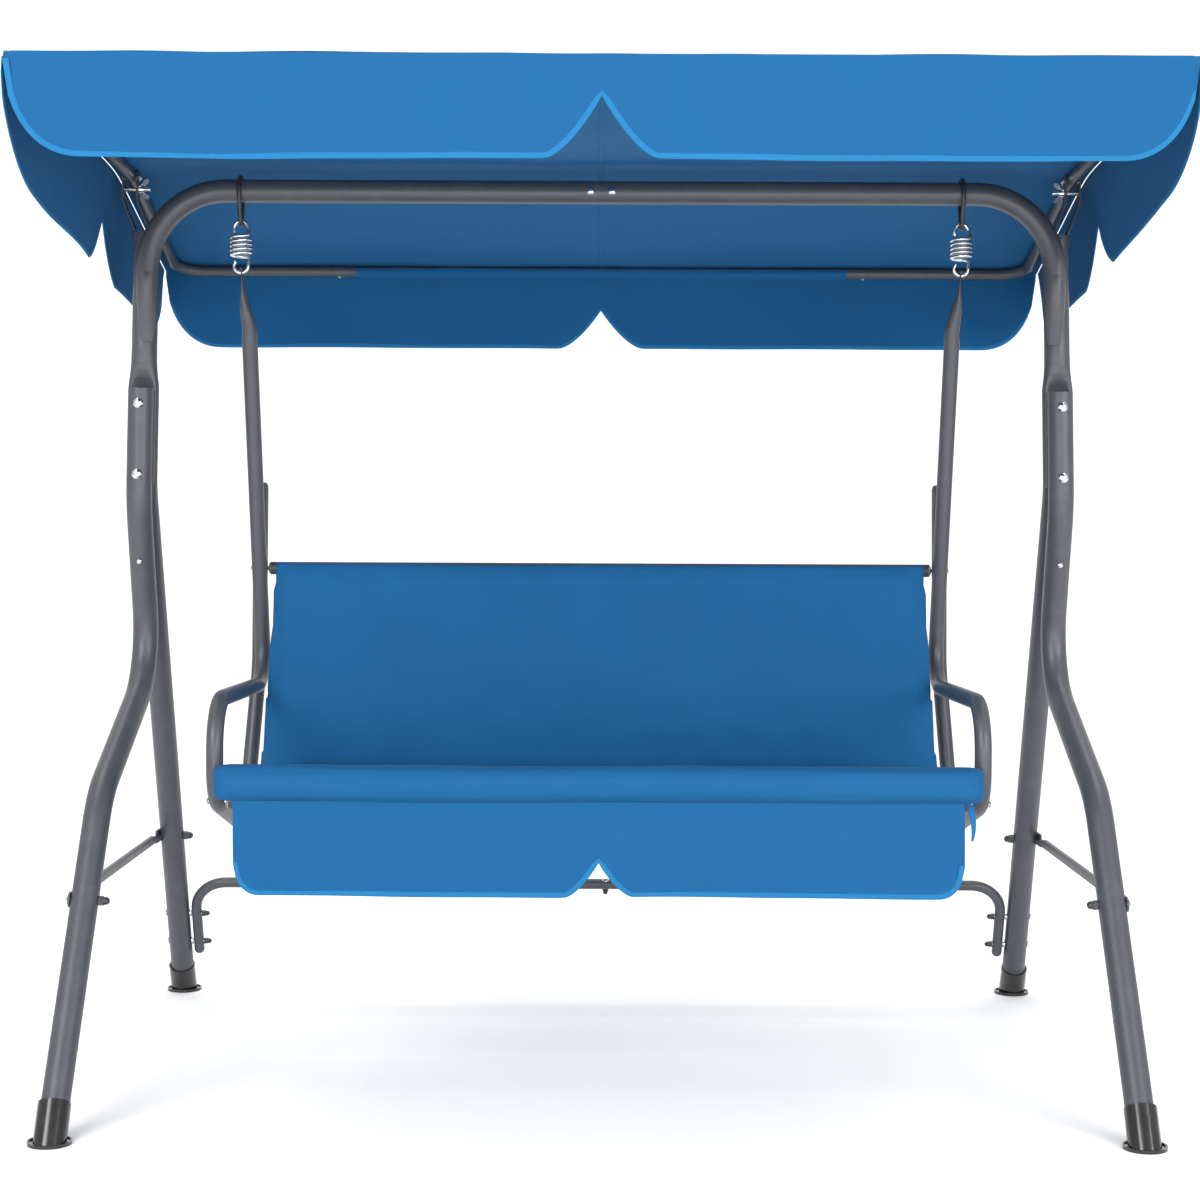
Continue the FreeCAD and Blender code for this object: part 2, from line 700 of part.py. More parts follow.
def wing_nut():
    """A wing nut along +Z, its wings rising on either side of the threaded boss."""
    boss = Part.makeCone(6.5, 5.0, 8.0)
    for way in (-1, 1):
        outline = [(way * 2, 1.5), (way * 5.5, 1.5), (way * 15.5, 9.0), (way * 17.0, 15.0), (way * 12.5, 17.0),
                   (way * 8.5, 13.0), (way * 4.5, 7.5), (way * 2, 7.5)]
        corners = [Vec(x, -1.2, z) for x, z in outline]
        boss = boss.fuse(Part.Face(Part.makePolygon(corners + corners[:1])).extrude(Vec(0, 2.4, 0)))
    return boss.cut(Part.makeCylinder(bolt_s / 2 + 0.05, 20)).removeSplitter()


for side, s in SIDES:
    solid("wing_nut_" + side, at(wing_nut(), place((s * (inner_face - 0.2), clamp_y, clamp_z), inward(s))))

# ---------------------------------------------------------------- hooks and springs
rod_d = size("hook_rod")
hook_x = size("hook_x")
hang_z = size("hang_z")
wire_d = size("spring_wire")
loop_r = beam_r + rod_d / 2 + 0.5
eye_low = hang_z - rod_d / 2 - 0.35


def hook_shape():
    """A closed hook: over the beam, down on both sides and together in a narrow eye."""
    top = beam_z
    curve = Part.BSplineCurve()
    narrow = 9.5
    points = []
    for step in range(13):
        angle = math.pi * step / 12
        points.append(Vec(0, beam_y - loop_r * math.cos(angle), top + loop_r * math.sin(angle)))
    points.append(Vec(0, beam_y + loop_r - 3.2, top - 17))
    points.append(Vec(0, beam_y + narrow + 2.6, top - 35))
    for step in range(7):
        angle = math.pi * step / 6
        points.append(Vec(0, beam_y + narrow * math.cos(angle), eye_low + narrow - narrow * math.sin(angle)))
    points.append(Vec(0, beam_y - narrow - 2.6, top - 35))
    points.append(Vec(0, beam_y - loop_r + 3.2, top - 17))
    curve.interpolate(points, PeriodicFlag=True)
    spine = Part.Wire(curve.toShape())
    start = curve.value(curve.FirstParameter)
    tangent = curve.tangent(curve.FirstParameter)[0]
    ring = Part.Wire(Part.makeCircle(rod_d / 2, start, tangent))
    return spine.makePipeShell([ring], True, False)


def spring_shape():
    """A close coil with an open loop at each end, along Z, hung at Z = 0."""
    coil_r = size("spring_coil") / 2
    wire = wire_d
    loop = 11.5
    low = size("spring_eye_z") + 2.7 - hang_z
    coil_top = -21.0
    coil_low = low + loop * 2 + 3.0
    turns = 5
    per_turn = 12
    points = []
    for step in range(11):
        angle = math.radians(-35 + 215 * step / 10)
        points.append(Vec(-loop * math.cos(angle), 0, -loop + wire / 2 + loop * math.sin(angle)))
    points.append(Vec(coil_r * 0.86, -coil_r * 0.42, coil_top + wire * 0.62))
    for step in range(2, turns * per_turn - 1):
        angle = 2 * math.pi * step / per_turn
        height = coil_top + (coil_low - coil_top) * step / (turns * per_turn)
        points.append(Vec(coil_r * math.cos(angle), -coil_r * math.sin(angle), height))
    points.append(Vec(coil_r * 0.86, coil_r * 0.42, coil_low - wire * 0.62))
    for step in range(11):
        angle = math.radians(-215 * step / 10)
        points.append(Vec(loop * math.cos(angle), 0, low + loop + loop * math.sin(angle)))
    curve = Part.BSplineCurve()
    curve.interpolate(points)
    spine = Part.Wire(curve.toShape())
    start = curve.value(curve.FirstParameter)
    tangent = curve.tangent(curve.FirstParameter)[0]
    ring = Part.Wire(Part.makeCircle(wire / 2, start, tangent))
    return spine.makePipeShell([ring], True, False)


hook = hook_shape()
spring = spring_shape()
for side, s in SIDES:
    solid("hook_" + side, at(hook, place((s * hook_x, 0, 0))))
for side, s in SIDES:
    solid("spring_" + side, at(spring, place((s * hook_x, beam_y, hang_z))))

# ---------------------------------------------------------------- seat frame
seat_r = size("seat_tube") / 2
seat_wall = size("seat_wall")
hang_x = size("hanger_x")
eye_z = size("spring_eye_z")
arm_z = size("arm_z")
arm_back = size("arm_back_y")
arm_front = size("arm_front_y")
rail_z = size("seat_rail_z")
rail_end = (size("seat_rail_end_y"), size("seat_rail_end_z"))
hang_slope = (arm_back - beam_y) / (eye_z - arm_z)
hang_turn = math.atan(hang_slope)
flat_len = 105.0
flat_top = eye_z + 11.0
tube_top = eye_z - flat_len
front_rail_y = -309.0
front_rail_z = 467.0
rail_bolt_front = (front_rail_y, front_rail_z)
corner_y = 121.0
rail_fall = (rail_end[1] - rail_z) / (rail_end[0] - arm_front)
corner_bolt = (corner_y, rail_z + rail_fall * (corner_y - arm_front))


def hanger_y(z):
    return beam_y + (eye_z - z) * hang_slope


back_offset = (seat_r * 2 + 0.6) / math.cos(hang_turn)
tie_heights = (905.0, 720.0)
back_place = {}
back_lean = 2.9
back_foot_z = 336.0
back_foot_x = hang_x + 2 * seat_r + 0.9
for side, s in SIDES:
    back_place[s] = place((s * back_foot_x, 0, back_foot_z), Rot(Y_AXIS, -s * back_lean))



def back_x(z):
    return back_foot_x - (z - back_foot_z) * math.tan(math.radians(back_lean))


def tie_hole(s, height, reach):
    """A hole square to the hanger, midway between it and the upright behind it."""
    x = s * (hang_x + back_x(height)) / 2
    return rod(hole_s, (x, hanger_y(height), height), (x, hanger_y(height) + reach, height + reach * hang_slope))


hook_dir = Vec(0, -math.sin(hang_turn), math.cos(hang_turn))
for side, s in SIDES:
    points = [(s * hang_x, hanger_y(tube_top), tube_top), (s * hang_x, arm_back, arm_z),
              (s * hang_x, arm_front, arm_z + 10), (s * hang_x, arm_front, rail_z), (s * hang_x,) + rail_end]
    tube = hollow_swept(points, [60.0, 75.0, 60.0], 2 * seat_r, seat_wall)

    def taper(z, centre_x, half_x, half_y):
        edge = Part.Edge(Part.Ellipse(Vec(0, 0, 0), max(half_x, half_y), min(half_x, half_y)))
        turn = Rot(X_AXIS, math.degrees(hang_turn))
        if half_y > half_x:
            turn = turn.multiply(Rot(Z_AXIS, 90))
        edge.Placement = FreeCAD.Placement(Vec(s * centre_x, hanger_y(z), z), turn)
        return Part.Wire(edge)

    crush = Part.makeLoft([
        taper(tube_top, hang_x, seat_r + 0.14, seat_r + 0.12),
        taper(tube_top + 30, hang_x + 1, seat_r * 0.88, seat_r * 1.02),
        taper(tube_top + 72, hang_x + 7.0, seat_r * 0.42, seat_r * 0.92),
        taper(eye_z - 16, hook_x - 2.0, 2.6, 10.5),
        taper(flat_top, hook_x, 2.2, 7.4),
    ], True, False)
    hollow = Part.makeCylinder(seat_r - seat_wall, 18, Vec(s * hang_x, hanger_y(tube_top), tube_top), hook_dir)
    eye_hole = rod(wire_d + 7.4, (s * hook_x - 20, beam_y, eye_z), (s * hook_x + 20, beam_y, eye_z))
    shape = tube.fuse(crush.cut(hollow).cut(eye_hole))
    shape = shape.cut(rod(hole_s, (s * (hang_x - 30),) + rail_bolt_front, (s * (hang_x + 30),) + rail_bolt_front))
    shape = shape.cut(rod(hole_s, (s * (hang_x - 30),) + corner_bolt, (s * (hang_x + 60),) + corner_bolt))
    for height in tie_heights:
        shape = shape.cut(tie_hole(s, height, 60))
    solid("hanger_" + side, shape.removeSplitter())

knee_z = 640.0
knee_y = hanger_y(knee_z) + back_offset
back_low = (117.0, back_foot_z)
back_top = (hanger_y(size("back_top_z")) + back_offset, size("back_top_z"))
lean_cos = math.cos(math.radians(back_lean))


def back_y(z):
    """Centre of a backrest upright at a height."""
    if z > knee_z:
        return hanger_y(z) + back_offset
    return back_low[0] + (z - back_foot_z) * (knee_y - back_low[0]) / (knee_z - back_foot_z)


cross_r = size("cross_od") / 2
rear_rail_z = 388.0
top_rail_z = 812.0
cross_heights = (rear_rail_z, top_rail_z)
for side, s in SIDES:
    local = [(0.0, y, (z - back_foot_z) / lean_cos) for y, z in (back_low, (knee_y, knee_z), back_top)]
    tube = hollow_swept(local, [110.0], 2 * seat_r, seat_wall)
    cap = Part.makeSphere(seat_r, Vec(*local[-1])).common(
        Part.makeCylinder(seat_r, seat_r, Vec(*local[-1]), Vec(*local[-1]) - Vec(*local[-2])))
    cap = cap.cut(Part.makeCylinder(seat_r - 4, seat_r * 2, Vec(*local[-1]) - Z_AXIS * 4))
    shape = at(tube.fuse(cap), back_place[s])
    shape = shape.cut(rod(hole_s, (s * (hang_x - 30),) + corner_bolt, (s * (hang_x + 60),) + corner_bolt))
    for height in tie_heights:
        shape = shape.cut(tie_hole(s, height, 90))
    for height in cross_heights:
        centre = (back_y(height), height)
        shape = shape.cut(rod(hole_s, (s * (back_x(height) - 40),) + centre, (s * (back_x(height) + 40),) + centre))
    solid("back_upright_" + side, shape.removeSplitter())


def cross_tube(name, half_length, y, z, od_word):
    """A straight rail between the two sides, padded both ways from the centre plane."""
    body = new_body(name, place((0, y, z)))
    section = new_sketch(body, name + "_section", "YZ_Plane")
    bound_circle(section, 0, 0, "Sizes.%s / 2" % od_word)
    bound_circle(section, 0, 0, "Sizes.%s / 2 - Sizes.seat_wall" % od_word)
    pad = body.newObject("PartDesign::Pad", name + "_run")
    pad.Profile = section
    pad.Length = 2 * half_length
    pad.Midplane = True
    doc.recompute()
    return body


def rail_plug(radius, tube_radius, wall):
    """A plastic plug pushed into a rail, its dome along +Z."""
    stem = Part.makeCylinder(tube_radius - wall - 0.15, 14, Vec(0, 0, -14))
    dome = Part.makeSphere(radius * 1.6, Vec(0, 0, 5.0 - radius * 1.6)).common(Part.makeCylinder(radius, 5))
    bore = Part.makeCylinder(bolt_s / 2 + 0.15, 40, Vec(0, 0, -20))
    return stem.fuse(dome).cut(bore).removeSplitter()


rails = (("front_rail", hang_x - seat_r - 0.4, front_rail_y, front_rail_z, "rail_od"),
         ("rear_rail", back_x(rear_rail_z) - seat_r - 0.8, back_y(rear_rail_z), rear_rail_z, "cross_od"),
         ("back_top_rail", back_x(top_rail_z) - seat_r - 0.8, back_y(top_rail_z), top_rail_z, "cross_od"))
plugs = []
for name, reach, y, z, word in rails:
    cross_tube(name, reach - 5.2, y, z, word)
    radius = size(word) / 2
    plug = rail_plug(radius - 0.1, radius, seat_wall)
    for side, s in SIDES:
        plugs.append(at(plug, place((s * (reach - 5.1), y, z), outward(s))))
group("rail_plugs", plugs)

frame_bolts = []
for side, s in SIDES:
    for x, y, z, length in (
            (hang_x + seat_r, front_rail_y, front_rail_z, 2 * seat_r + 22),
            (back_x(rear_rail_z) + seat_r + 0.4, back_y(rear_rail_z), rear_rail_z, 2 * seat_r + 22),
            (back_x(top_rail_z) + seat_r + 0.4, back_y(top_rail_z), top_rail_z, 2 * seat_r + 22),
            (back_x(corner_bolt[1]) + seat_r + 0.4, corner_bolt[0], corner_bolt[1], 4 * seat_r + 8)):
        bolt = dome_bolt(bolt_s, length, 12.0, 3.4)
        frame_bolts.append(at(bolt, place((s * (x + 0.15), y, z), outward(s))))
    for height in tie_heights:
        along = back_offset + (seat_r + 0.3) / math.cos(hang_turn)
        turn = Rot(X_AXIS, math.degrees(hang_turn)).multiply(TOWARDS_Y)
        head = (s * (hang_x + back_x(height)) / 2, hanger_y(height) + along * math.cos(hang_turn) ** 2,
                height + along * math.cos(hang_turn) * math.sin(hang_turn))
        frame_bolts.append(at(dome_bolt(bolt_s, 3 * seat_r + 3, 12.0, 3.4), place(head, turn)))
group("seat_frame_bolts", frame_bolts)

# ---------------------------------------------------------------- cushions and cloth
cushion = size("cushion_half")


def padded(name, outline, half_length, rounding, placement=None):
    """A soft slab: its side outline in the YZ plane, padded both ways across the swing."""
    body = new_body(name, placement)
    section = new_sketch(body, name + "_outline", "YZ_Plane")
    count = len(outline)
    for index in range(count):
        start = Vec(outline[index][0], outline[index][1], 0)
        end = Vec(outline[(index + 1) % count][0], outline[(index + 1) % count][1], 0)
        section.addGeometry(Part.LineSegment(start, end), False)
        section.addConstraint(Sketcher.Constraint("Block", index))
    pad = body.newObject("PartDesign::Pad", name + "_slab")
    pad.Profile = section
    pad.Length = 2 * half_length
    pad.Midplane = True
    doc.recompute()
    body.Tip = pad
    if rounding:
        long_edges = []
        for index, edge in enumerate(pad.Shape.Edges, start=1):
            direction = edge.Vertexes[1].Point - edge.Vertexes[0].Point
            if abs(direction.x) > half_length:
                long_edges.append("Edge%d" % index)
        fillet = body.newObject("PartDesign::Fillet", name + "_round")
        fillet.Base = (pad, long_edges)
        fillet.Radius = rounding
        doc.recompute()
        body.Tip = fillet
    return body


padded("seat_cushion", [(-343.5, 522), (118, 425), (118, 403), (-343.5, 490)], cushion, 8.0)
padded("seat_front_roll", [(-388, 529), (-344.5, 529), (-344.5, 475), (-388, 475)], 578.0, 20.0)
back_front = back_y(top_rail_z) - cross_r - 3.0
low_front = back_y(rear_rail_z) - cross_r - 3.0
padded("back_cushion", [(back_front - 26, 830), (back_front, 830), (low_front, 448), (low_front - 26, 448)],
       cushion + 8, 8.0)


def valance_outline(half, drop, notch_half, notch_rise, corner):
    """A hanging flap's outline: straight top, rounded lower corners, a pointed notch in the middle."""
    low = -drop
    edges = [Part.LineSegment(Vec(-half, 0, 0), Vec(half, 0, 0)),
             Part.LineSegment(Vec(half, 0, 0), Vec(half, low + corner, 0))]
    middle = corner * (1 - math.sqrt(0.5))
    edges.append(Part.Arc(Vec(half, low + corner, 0), Vec(half - middle, low + middle, 0), Vec(half - corner, low, 0)))
    edges.append(Part.LineSegment(Vec(half - corner, low, 0), Vec(notch_half, low, 0)))
    edges.append(Part.LineSegment(Vec(notch_half, low, 0), Vec(0, low + notch_rise, 0)))
    edges.append(Part.LineSegment(Vec(0, low + notch_rise, 0), Vec(-notch_half, low, 0)))
    edges.append(Part.LineSegment(Vec(-notch_half, low, 0), Vec(-half + corner, low, 0)))
    edges.append(Part.Arc(Vec(-half + corner, low, 0), Vec(-half + middle, low + middle, 0), Vec(-half, low + corner, 0)))
    edges.append(Part.LineSegment(Vec(-half, low + corner, 0), Vec(-half, 0, 0)))
    return edges


def flap(name, edges, role, placement):
    """A flat cloth panel padded from its outline."""
    body = new_body(name, placement)
    outline = new_sketch(body, name + "_outline", role)
    for curve in edges:
        index = outline.addGeometry(curve, False)
        outline.addConstraint(Sketcher.Constraint("Block", index))
    pad = body.newObject("PartDesign::Pad", name + "_cloth")
    pad.Profile = outline
    pad.setExpression("Length", "Sizes.cloth")
    doc.recompute()
    return body


flap("seat_valance", valance_outline(549.0, 141.0, 30.0, 54.0, 30.0), "XZ_Plane", place((0, -368, 474)))

ribbon = Part.makeBox(6, 1.2, 58, Vec(-3, -0.6, -58))
solid("tie_ribbon", at(ribbon, place((560, -352, 473), Rot(Y_AXIS, -6))))

# ---------------------------------------------------------------- canopy frame
front_pt = (size("canopy_front_y"), size("canopy_front_z"))
rear_pt = (size("canopy_rear_y"), size("canopy_rear_z"))
splice = 460.0
crown_radius = 300.0
front_rise = math.atan2(front_pt[1] - pivot_z, post_y - front_pt[0])
rear_fall = math.atan2(pivot_z - rear_pt[1], rear_pt[0] - post_y)
crown_z = pivot_z + crown_radius * (1 / math.cos((front_rise + rear_fall) / 2) - 1)
button_x = splice + 22
for side, s in SIDES:
    points = [(s * splice,) + front_pt, (s * half_w,) + front_pt, (s * half_w, post_y, crown_z),
              (s * half_w,) + rear_pt, (s * splice,) + rear_pt]
    bow = hollow_swept(points, [48.0, crown_radius, 48.0], 2 * tube_r, size("canopy_wall"))
    bow = bow.cut(rod(play_hole, (s * half_w - 30, post_y, pivot_z), (s * half_w + 30, post_y, pivot_z)))
    for y, z in (front_pt, rear_pt):
        bow = bow.cut(rod(hole_s, (s * button_x, y, z - 20), (s * button_x, y, z)))
    solid("canopy_bow_" + side, bow)


def spliced_tube(name, y, z):
    """A straight canopy tube whose two ends are necked to push into the bows."""
    neck = tube_r - size("canopy_wall") - 0.1
    run = rod(2 * tube_r, (-splice + 0.5, y, z), (splice - 0.5, y, z))
    run = run.fuse(rod(2 * neck, (-splice - 45, y, z), (splice + 45, y, z)))
    run = run.cut(rod(2 * neck - 2.0, (-splice - 46, y, z), (splice + 46, y, z)))
    for x in (-button_x, button_x):
        run = run.cut(rod(hole_s, (x, y, z - 20), (x, y, z)))
    solid(name, run.removeSplitter())


spliced_tube("canopy_front_tube", *front_pt)
spliced_tube("canopy_rear_tube", *rear_pt)
buttons = []
for y, z in (front_pt, rear_pt):
    for x in (-button_x, button_x):
        pin = dome_bolt(bolt_s, 5.0, bolt_s, 1.6)
        buttons.append(at(pin, place((x, y, z - tube_r - 0.6), Rot(X_AXIS, 180))))
group("canopy_snap_buttons", buttons)

cloth = size("cloth")
rise = tube_r + 1.2
front_dir = Vec(0, post_y - front_pt[0], crown_z - front_pt[1]).normalize()
rear_dir = Vec(0, rear_pt[0] - post_y, rear_pt[1] - crown_z).normalize()
front_up = Vec(0, -front_dir.z, front_dir.y)
rear_up = Vec(0, -rear_dir.z, rear_dir.y)
mid_up = (front_up + rear_up).normalize()
bend_up = mid_up * (1.0 / mid_up.dot(front_up))
over = 12.0
spine_points = [(Vec(0, front_pt[0], front_pt[1]) - front_dir * over, front_up),
                (Vec(0, post_y, crown_z), bend_up),
                (Vec(0, rear_pt[0], rear_pt[1]) + rear_dir * over, rear_up)]
lower = [p + up * rise for p, up in spine_points]
upper = [p + up * (rise + cloth) for p, up in spine_points]
top_outline = [(p.y, p.z) for p in lower] + [(p.y, p.z) for p in reversed(upper)]
cover_half = 809.0
padded("canopy_top_cover", top_outline, cover_half, 0)

hem = cover_half - 10.0
front_hang = (front_pt[0] - tube_r - 1.4, front_pt[1] + tube_r - 1.0)
rear_hang = (rear_pt[0] + tube_r + 1.4 + cloth, rear_pt[1] + tube_r - 4.0)
front_drop = size("valance_drop")
rear_drop = size("rear_valance_drop")
flap("canopy_valance_front", valance_outline(hem, front_drop, 42.0, 73.0, 62.0), "XZ_Plane",
     place((0, front_hang[0], front_hang[1])))
flap("canopy_valance_rear", valance_outline(hem, rear_drop, 42.0, 67.0, 62.0), "XZ_Plane",
     place((0, rear_hang[0], rear_hang[1])))


def roof_z(y):
    """Height of the cover's underside."""
    start, end = (lower[0], lower[1]) if y < lower[1].y else (lower[1], lower[2])
    return start.z + (end.z - start.z) * (y - start.y) / (end.y - start.y)


def side_flap_edges():
    """The side flap follows the bow above and hangs in two rounded lobes."""
    gap = 1.2
    front_y = front_pt[0] - 8
    rear_y = rear_pt[0] + 8
    drops = [(front_y, 57), (front_pt[0] + 34, 104), (front_pt[0] + 90, 127), (front_pt[0] + 186, 142),
             (-163, 174), (-118, 165), (-60, 122), (-5, 95), (26, 124), (52, 170), (69, 178), (264, 150),
             (rear_pt[0] - 90, 130), (rear_pt[0] - 34, 104), (rear_y, 57)]
    lobes = [(y, roof_z(y) - drop) for y, drop in drops]
    top = [(front_y, roof_z(front_y) - gap), (post_y, roof_z(post_y) - gap - 0.4), (rear_y, roof_z(rear_y) - gap)]
    chain = top + list(reversed(lobes))
    edges = []
    for start, end in zip(chain, chain[1:] + chain[:1]):
        edges.append(Part.LineSegment(Vec(start[0], start[1], 0), Vec(end[0], end[1], 0)))
    return edges


for side, s in SIDES:
    flap("canopy_valance_" + side, side_flap_edges(), "YZ_Plane",
         place((s * (cover_half - 2.0) - 1.5, 0, 0)))

# ---------------------------------------------------------------- check and export
# The origin lies on the floor under the middle of the overall box.
front_end = front_hang[0] - cloth
rear_end = foot + flange / 2
for node in NODES:
    node.Placement = place((0, -(front_end + rear_end) / 2, 0)).multiply(node.Placement)
doc.recompute()
problems = []
for item in doc.Objects:
    for state in item.State:
        if state in ("Invalid", "Error"):
            problems.append("%s is %s" % (item.Label, state))
for node in NODES:
    shape = node.Shape
    if shape.isNull() or not shape.isValid() or not shape.Solids:
        problems.append("%s has no valid shape" % node.Label)
if problems:
    raise RuntimeError("; ".join(problems))

os.makedirs("parts", exist_ok=True)
for node in NODES:
    node.Shape.exportStep("parts/%s.step" % node.Label)
print("wrote %d nodes" % len(NODES))
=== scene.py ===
import json
import math

import bpy
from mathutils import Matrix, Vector, noise


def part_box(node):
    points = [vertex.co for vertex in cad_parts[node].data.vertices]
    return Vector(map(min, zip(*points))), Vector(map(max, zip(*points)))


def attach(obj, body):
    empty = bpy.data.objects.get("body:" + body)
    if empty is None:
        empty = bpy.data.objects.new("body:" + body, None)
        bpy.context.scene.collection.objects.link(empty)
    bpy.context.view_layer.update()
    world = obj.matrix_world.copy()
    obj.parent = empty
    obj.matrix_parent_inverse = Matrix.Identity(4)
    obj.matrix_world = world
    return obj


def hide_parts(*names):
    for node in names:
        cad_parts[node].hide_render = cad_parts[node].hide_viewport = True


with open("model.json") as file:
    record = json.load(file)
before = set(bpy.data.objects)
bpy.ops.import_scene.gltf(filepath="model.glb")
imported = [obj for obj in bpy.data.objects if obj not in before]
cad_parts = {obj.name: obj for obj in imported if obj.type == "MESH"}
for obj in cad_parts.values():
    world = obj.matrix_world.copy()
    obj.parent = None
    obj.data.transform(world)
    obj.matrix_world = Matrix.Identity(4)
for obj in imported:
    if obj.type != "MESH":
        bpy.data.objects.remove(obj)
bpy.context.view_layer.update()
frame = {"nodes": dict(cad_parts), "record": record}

nodes = frame["nodes"]

# Camera: a little above seat height, looking straight at the middle of the swing.
CAMERA_PLACE = (0.0, -3.749, 0.907)
CAMERA_TILT = 87.87
CAMERA_ROLL = -0.25
CAMERA_LENS = 69.0

# Roof: half-lengths, drops and the line of the side bows (y, z), read with the pivot at its crown.
ROOF_HALF = 0.806
ROOF_FRONT = (-0.6295, 1.5275)
ROOF_CROWN = (0.098, 1.4800)
ROOF_REAR = (0.5245, 1.3615)
FRONT_DROP = 0.139
REAR_DROP = 0.146
CLOTH_THICK = 0.0011
FRONT_SAG = 0.016
REAR_SAG = 0.009
EDGE_ROLL = 0.006
EDGE_ROLL_WIDTH = 0.010

# Flaps: how far each corner is rounded along and up, then the notch's half-width and rise.
FRONT_CORNER = (0.105, 0.128)
REAR_CORNER = (0.105, 0.130)
SEAT_CORNER = (0.040, 0.050)
ROOF_NOTCH_HALF = 0.078
FRONT_NOTCH_RISE = 0.083
REAR_NOTCH_RISE = 0.070
SEAT_NOTCH = 0.052

# Seat: the roll along its front edge and the flap under it.
ROLL_HALF = 0.580
ROLL_MIDDLE = (-0.3015, 0.5015)
FLAP_HALF = 0.549
FLAP_TOP = 0.476
FLAP_DROP = 0.143
BACK_FOOT = 0.452
BACK_HEIGHT = 0.374

# Filling of the padded pieces.
PAD_CELL = 0.0062
PAD_PRESSURE = 4.0
PAD_FRAMES = 20


# ------------------------------------------------------------------ modelling helpers
def pick(obj):
    """Only obj is selected, and it is active."""
    bpy.ops.object.select_all(action="DESELECT")
    obj.select_set(True)
    bpy.context.view_layer.objects.active = obj


def apply_modifiers(obj):
    pick(obj)
    for modifier in list(obj.modifiers):
        bpy.ops.object.modifier_apply(modifier=modifier.name)


def clean(obj):
    """Doubles merged and faces turned outwards."""
    pick(obj)
    bpy.ops.object.mode_set(mode="EDIT")
    bpy.ops.mesh.select_all(action="SELECT")
    bpy.ops.mesh.remove_doubles(threshold=0.00005)
    bpy.ops.mesh.normals_make_consistent(inside=False)
    bpy.ops.object.mode_set(mode="OBJECT")


def smooth(obj, angle=40):
    pick(obj)
    bpy.ops.object.shade_smooth_by_angle(angle=math.radians(angle))


def panel(name, across, down, rule, size):
    """A grid laid out by rule(a, b), with a and b from 0 to 1; its UV map is in metres of cloth."""
    bpy.ops.object.select_all(action="DESELECT")
    bpy.ops.mesh.primitive_grid_add(x_subdivisions=across, y_subdivisions=down, size=1.0)
    obj = bpy.context.object
    obj.name = name
    for vertex in obj.data.vertices:
        vertex.co = rule(vertex.co.x + 0.5, vertex.co.y + 0.5)
    for loop in obj.data.uv_layers[0].data:
        loop.uv = (loop.uv[0] * size[0], loop.uv[1] * size[1])
    return obj


def thicken(obj, thick, offset=0.0):
    modifier = obj.modifiers.new("thickness", "SOLIDIFY")
    modifier.thickness = thick
    modifier.offset = offset
    apply_modifiers(obj)


def finish_piece(obj, material, body, *stand_for):
    obj.data.materials.clear()
    obj.data.materials.append(material)
    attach(obj, body)
    if stand_for:
        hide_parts(*stand_for)


def ripple(x, y, z, scale, seed):
    """Smooth wrinkles from -1 to 1."""
    return noise.noise(Vector((x * scale + seed, y * scale - seed, z * scale + 2 * seed)))


# ------------------------------------------------------------------ material helpers
def new_material(name):
    material = bpy.data.materials.new(name)
    material.use_nodes = True
    return material, material.node_tree.nodes, material.node_tree.links


def group_sockets(tree, inputs, outputs):
    for name, kind, value in inputs:
        socket = tree.interface.new_socket(name=name, in_out="INPUT", socket_type=kind)
        if value is not None:
            socket.default_value = value
    for name, kind in outputs:
        tree.interface.new_socket(name=name, in_out="OUTPUT", socket_type=kind)


def math_node(tree, operation, first, second=None, clamp=False):
    node = tree.nodes.new("ShaderNodeMath")
    node.operation = operation
    node.use_clamp = clamp
    for socket, value in zip(node.inputs, (first, second)):
        if value is None:
            continue
        if isinstance(value, (int, float)):
            socket.default_value = value
        else:
            tree.links.new(value, socket)
    return node.outputs[0]


def colour_mix(tree, factor, first, second):
    node = tree.nodes.new("ShaderNodeMix")
    node.data_type = "RGBA"
    sockets = (node.inputs[0], node.inputs[6], node.inputs[7])
    for socket, value in zip(sockets, (factor, first, second)):
        if hasattr(value, "is_output"):
            tree.links.new(value, socket)
        else:
            socket.default_value = value
    return node.outputs[2]


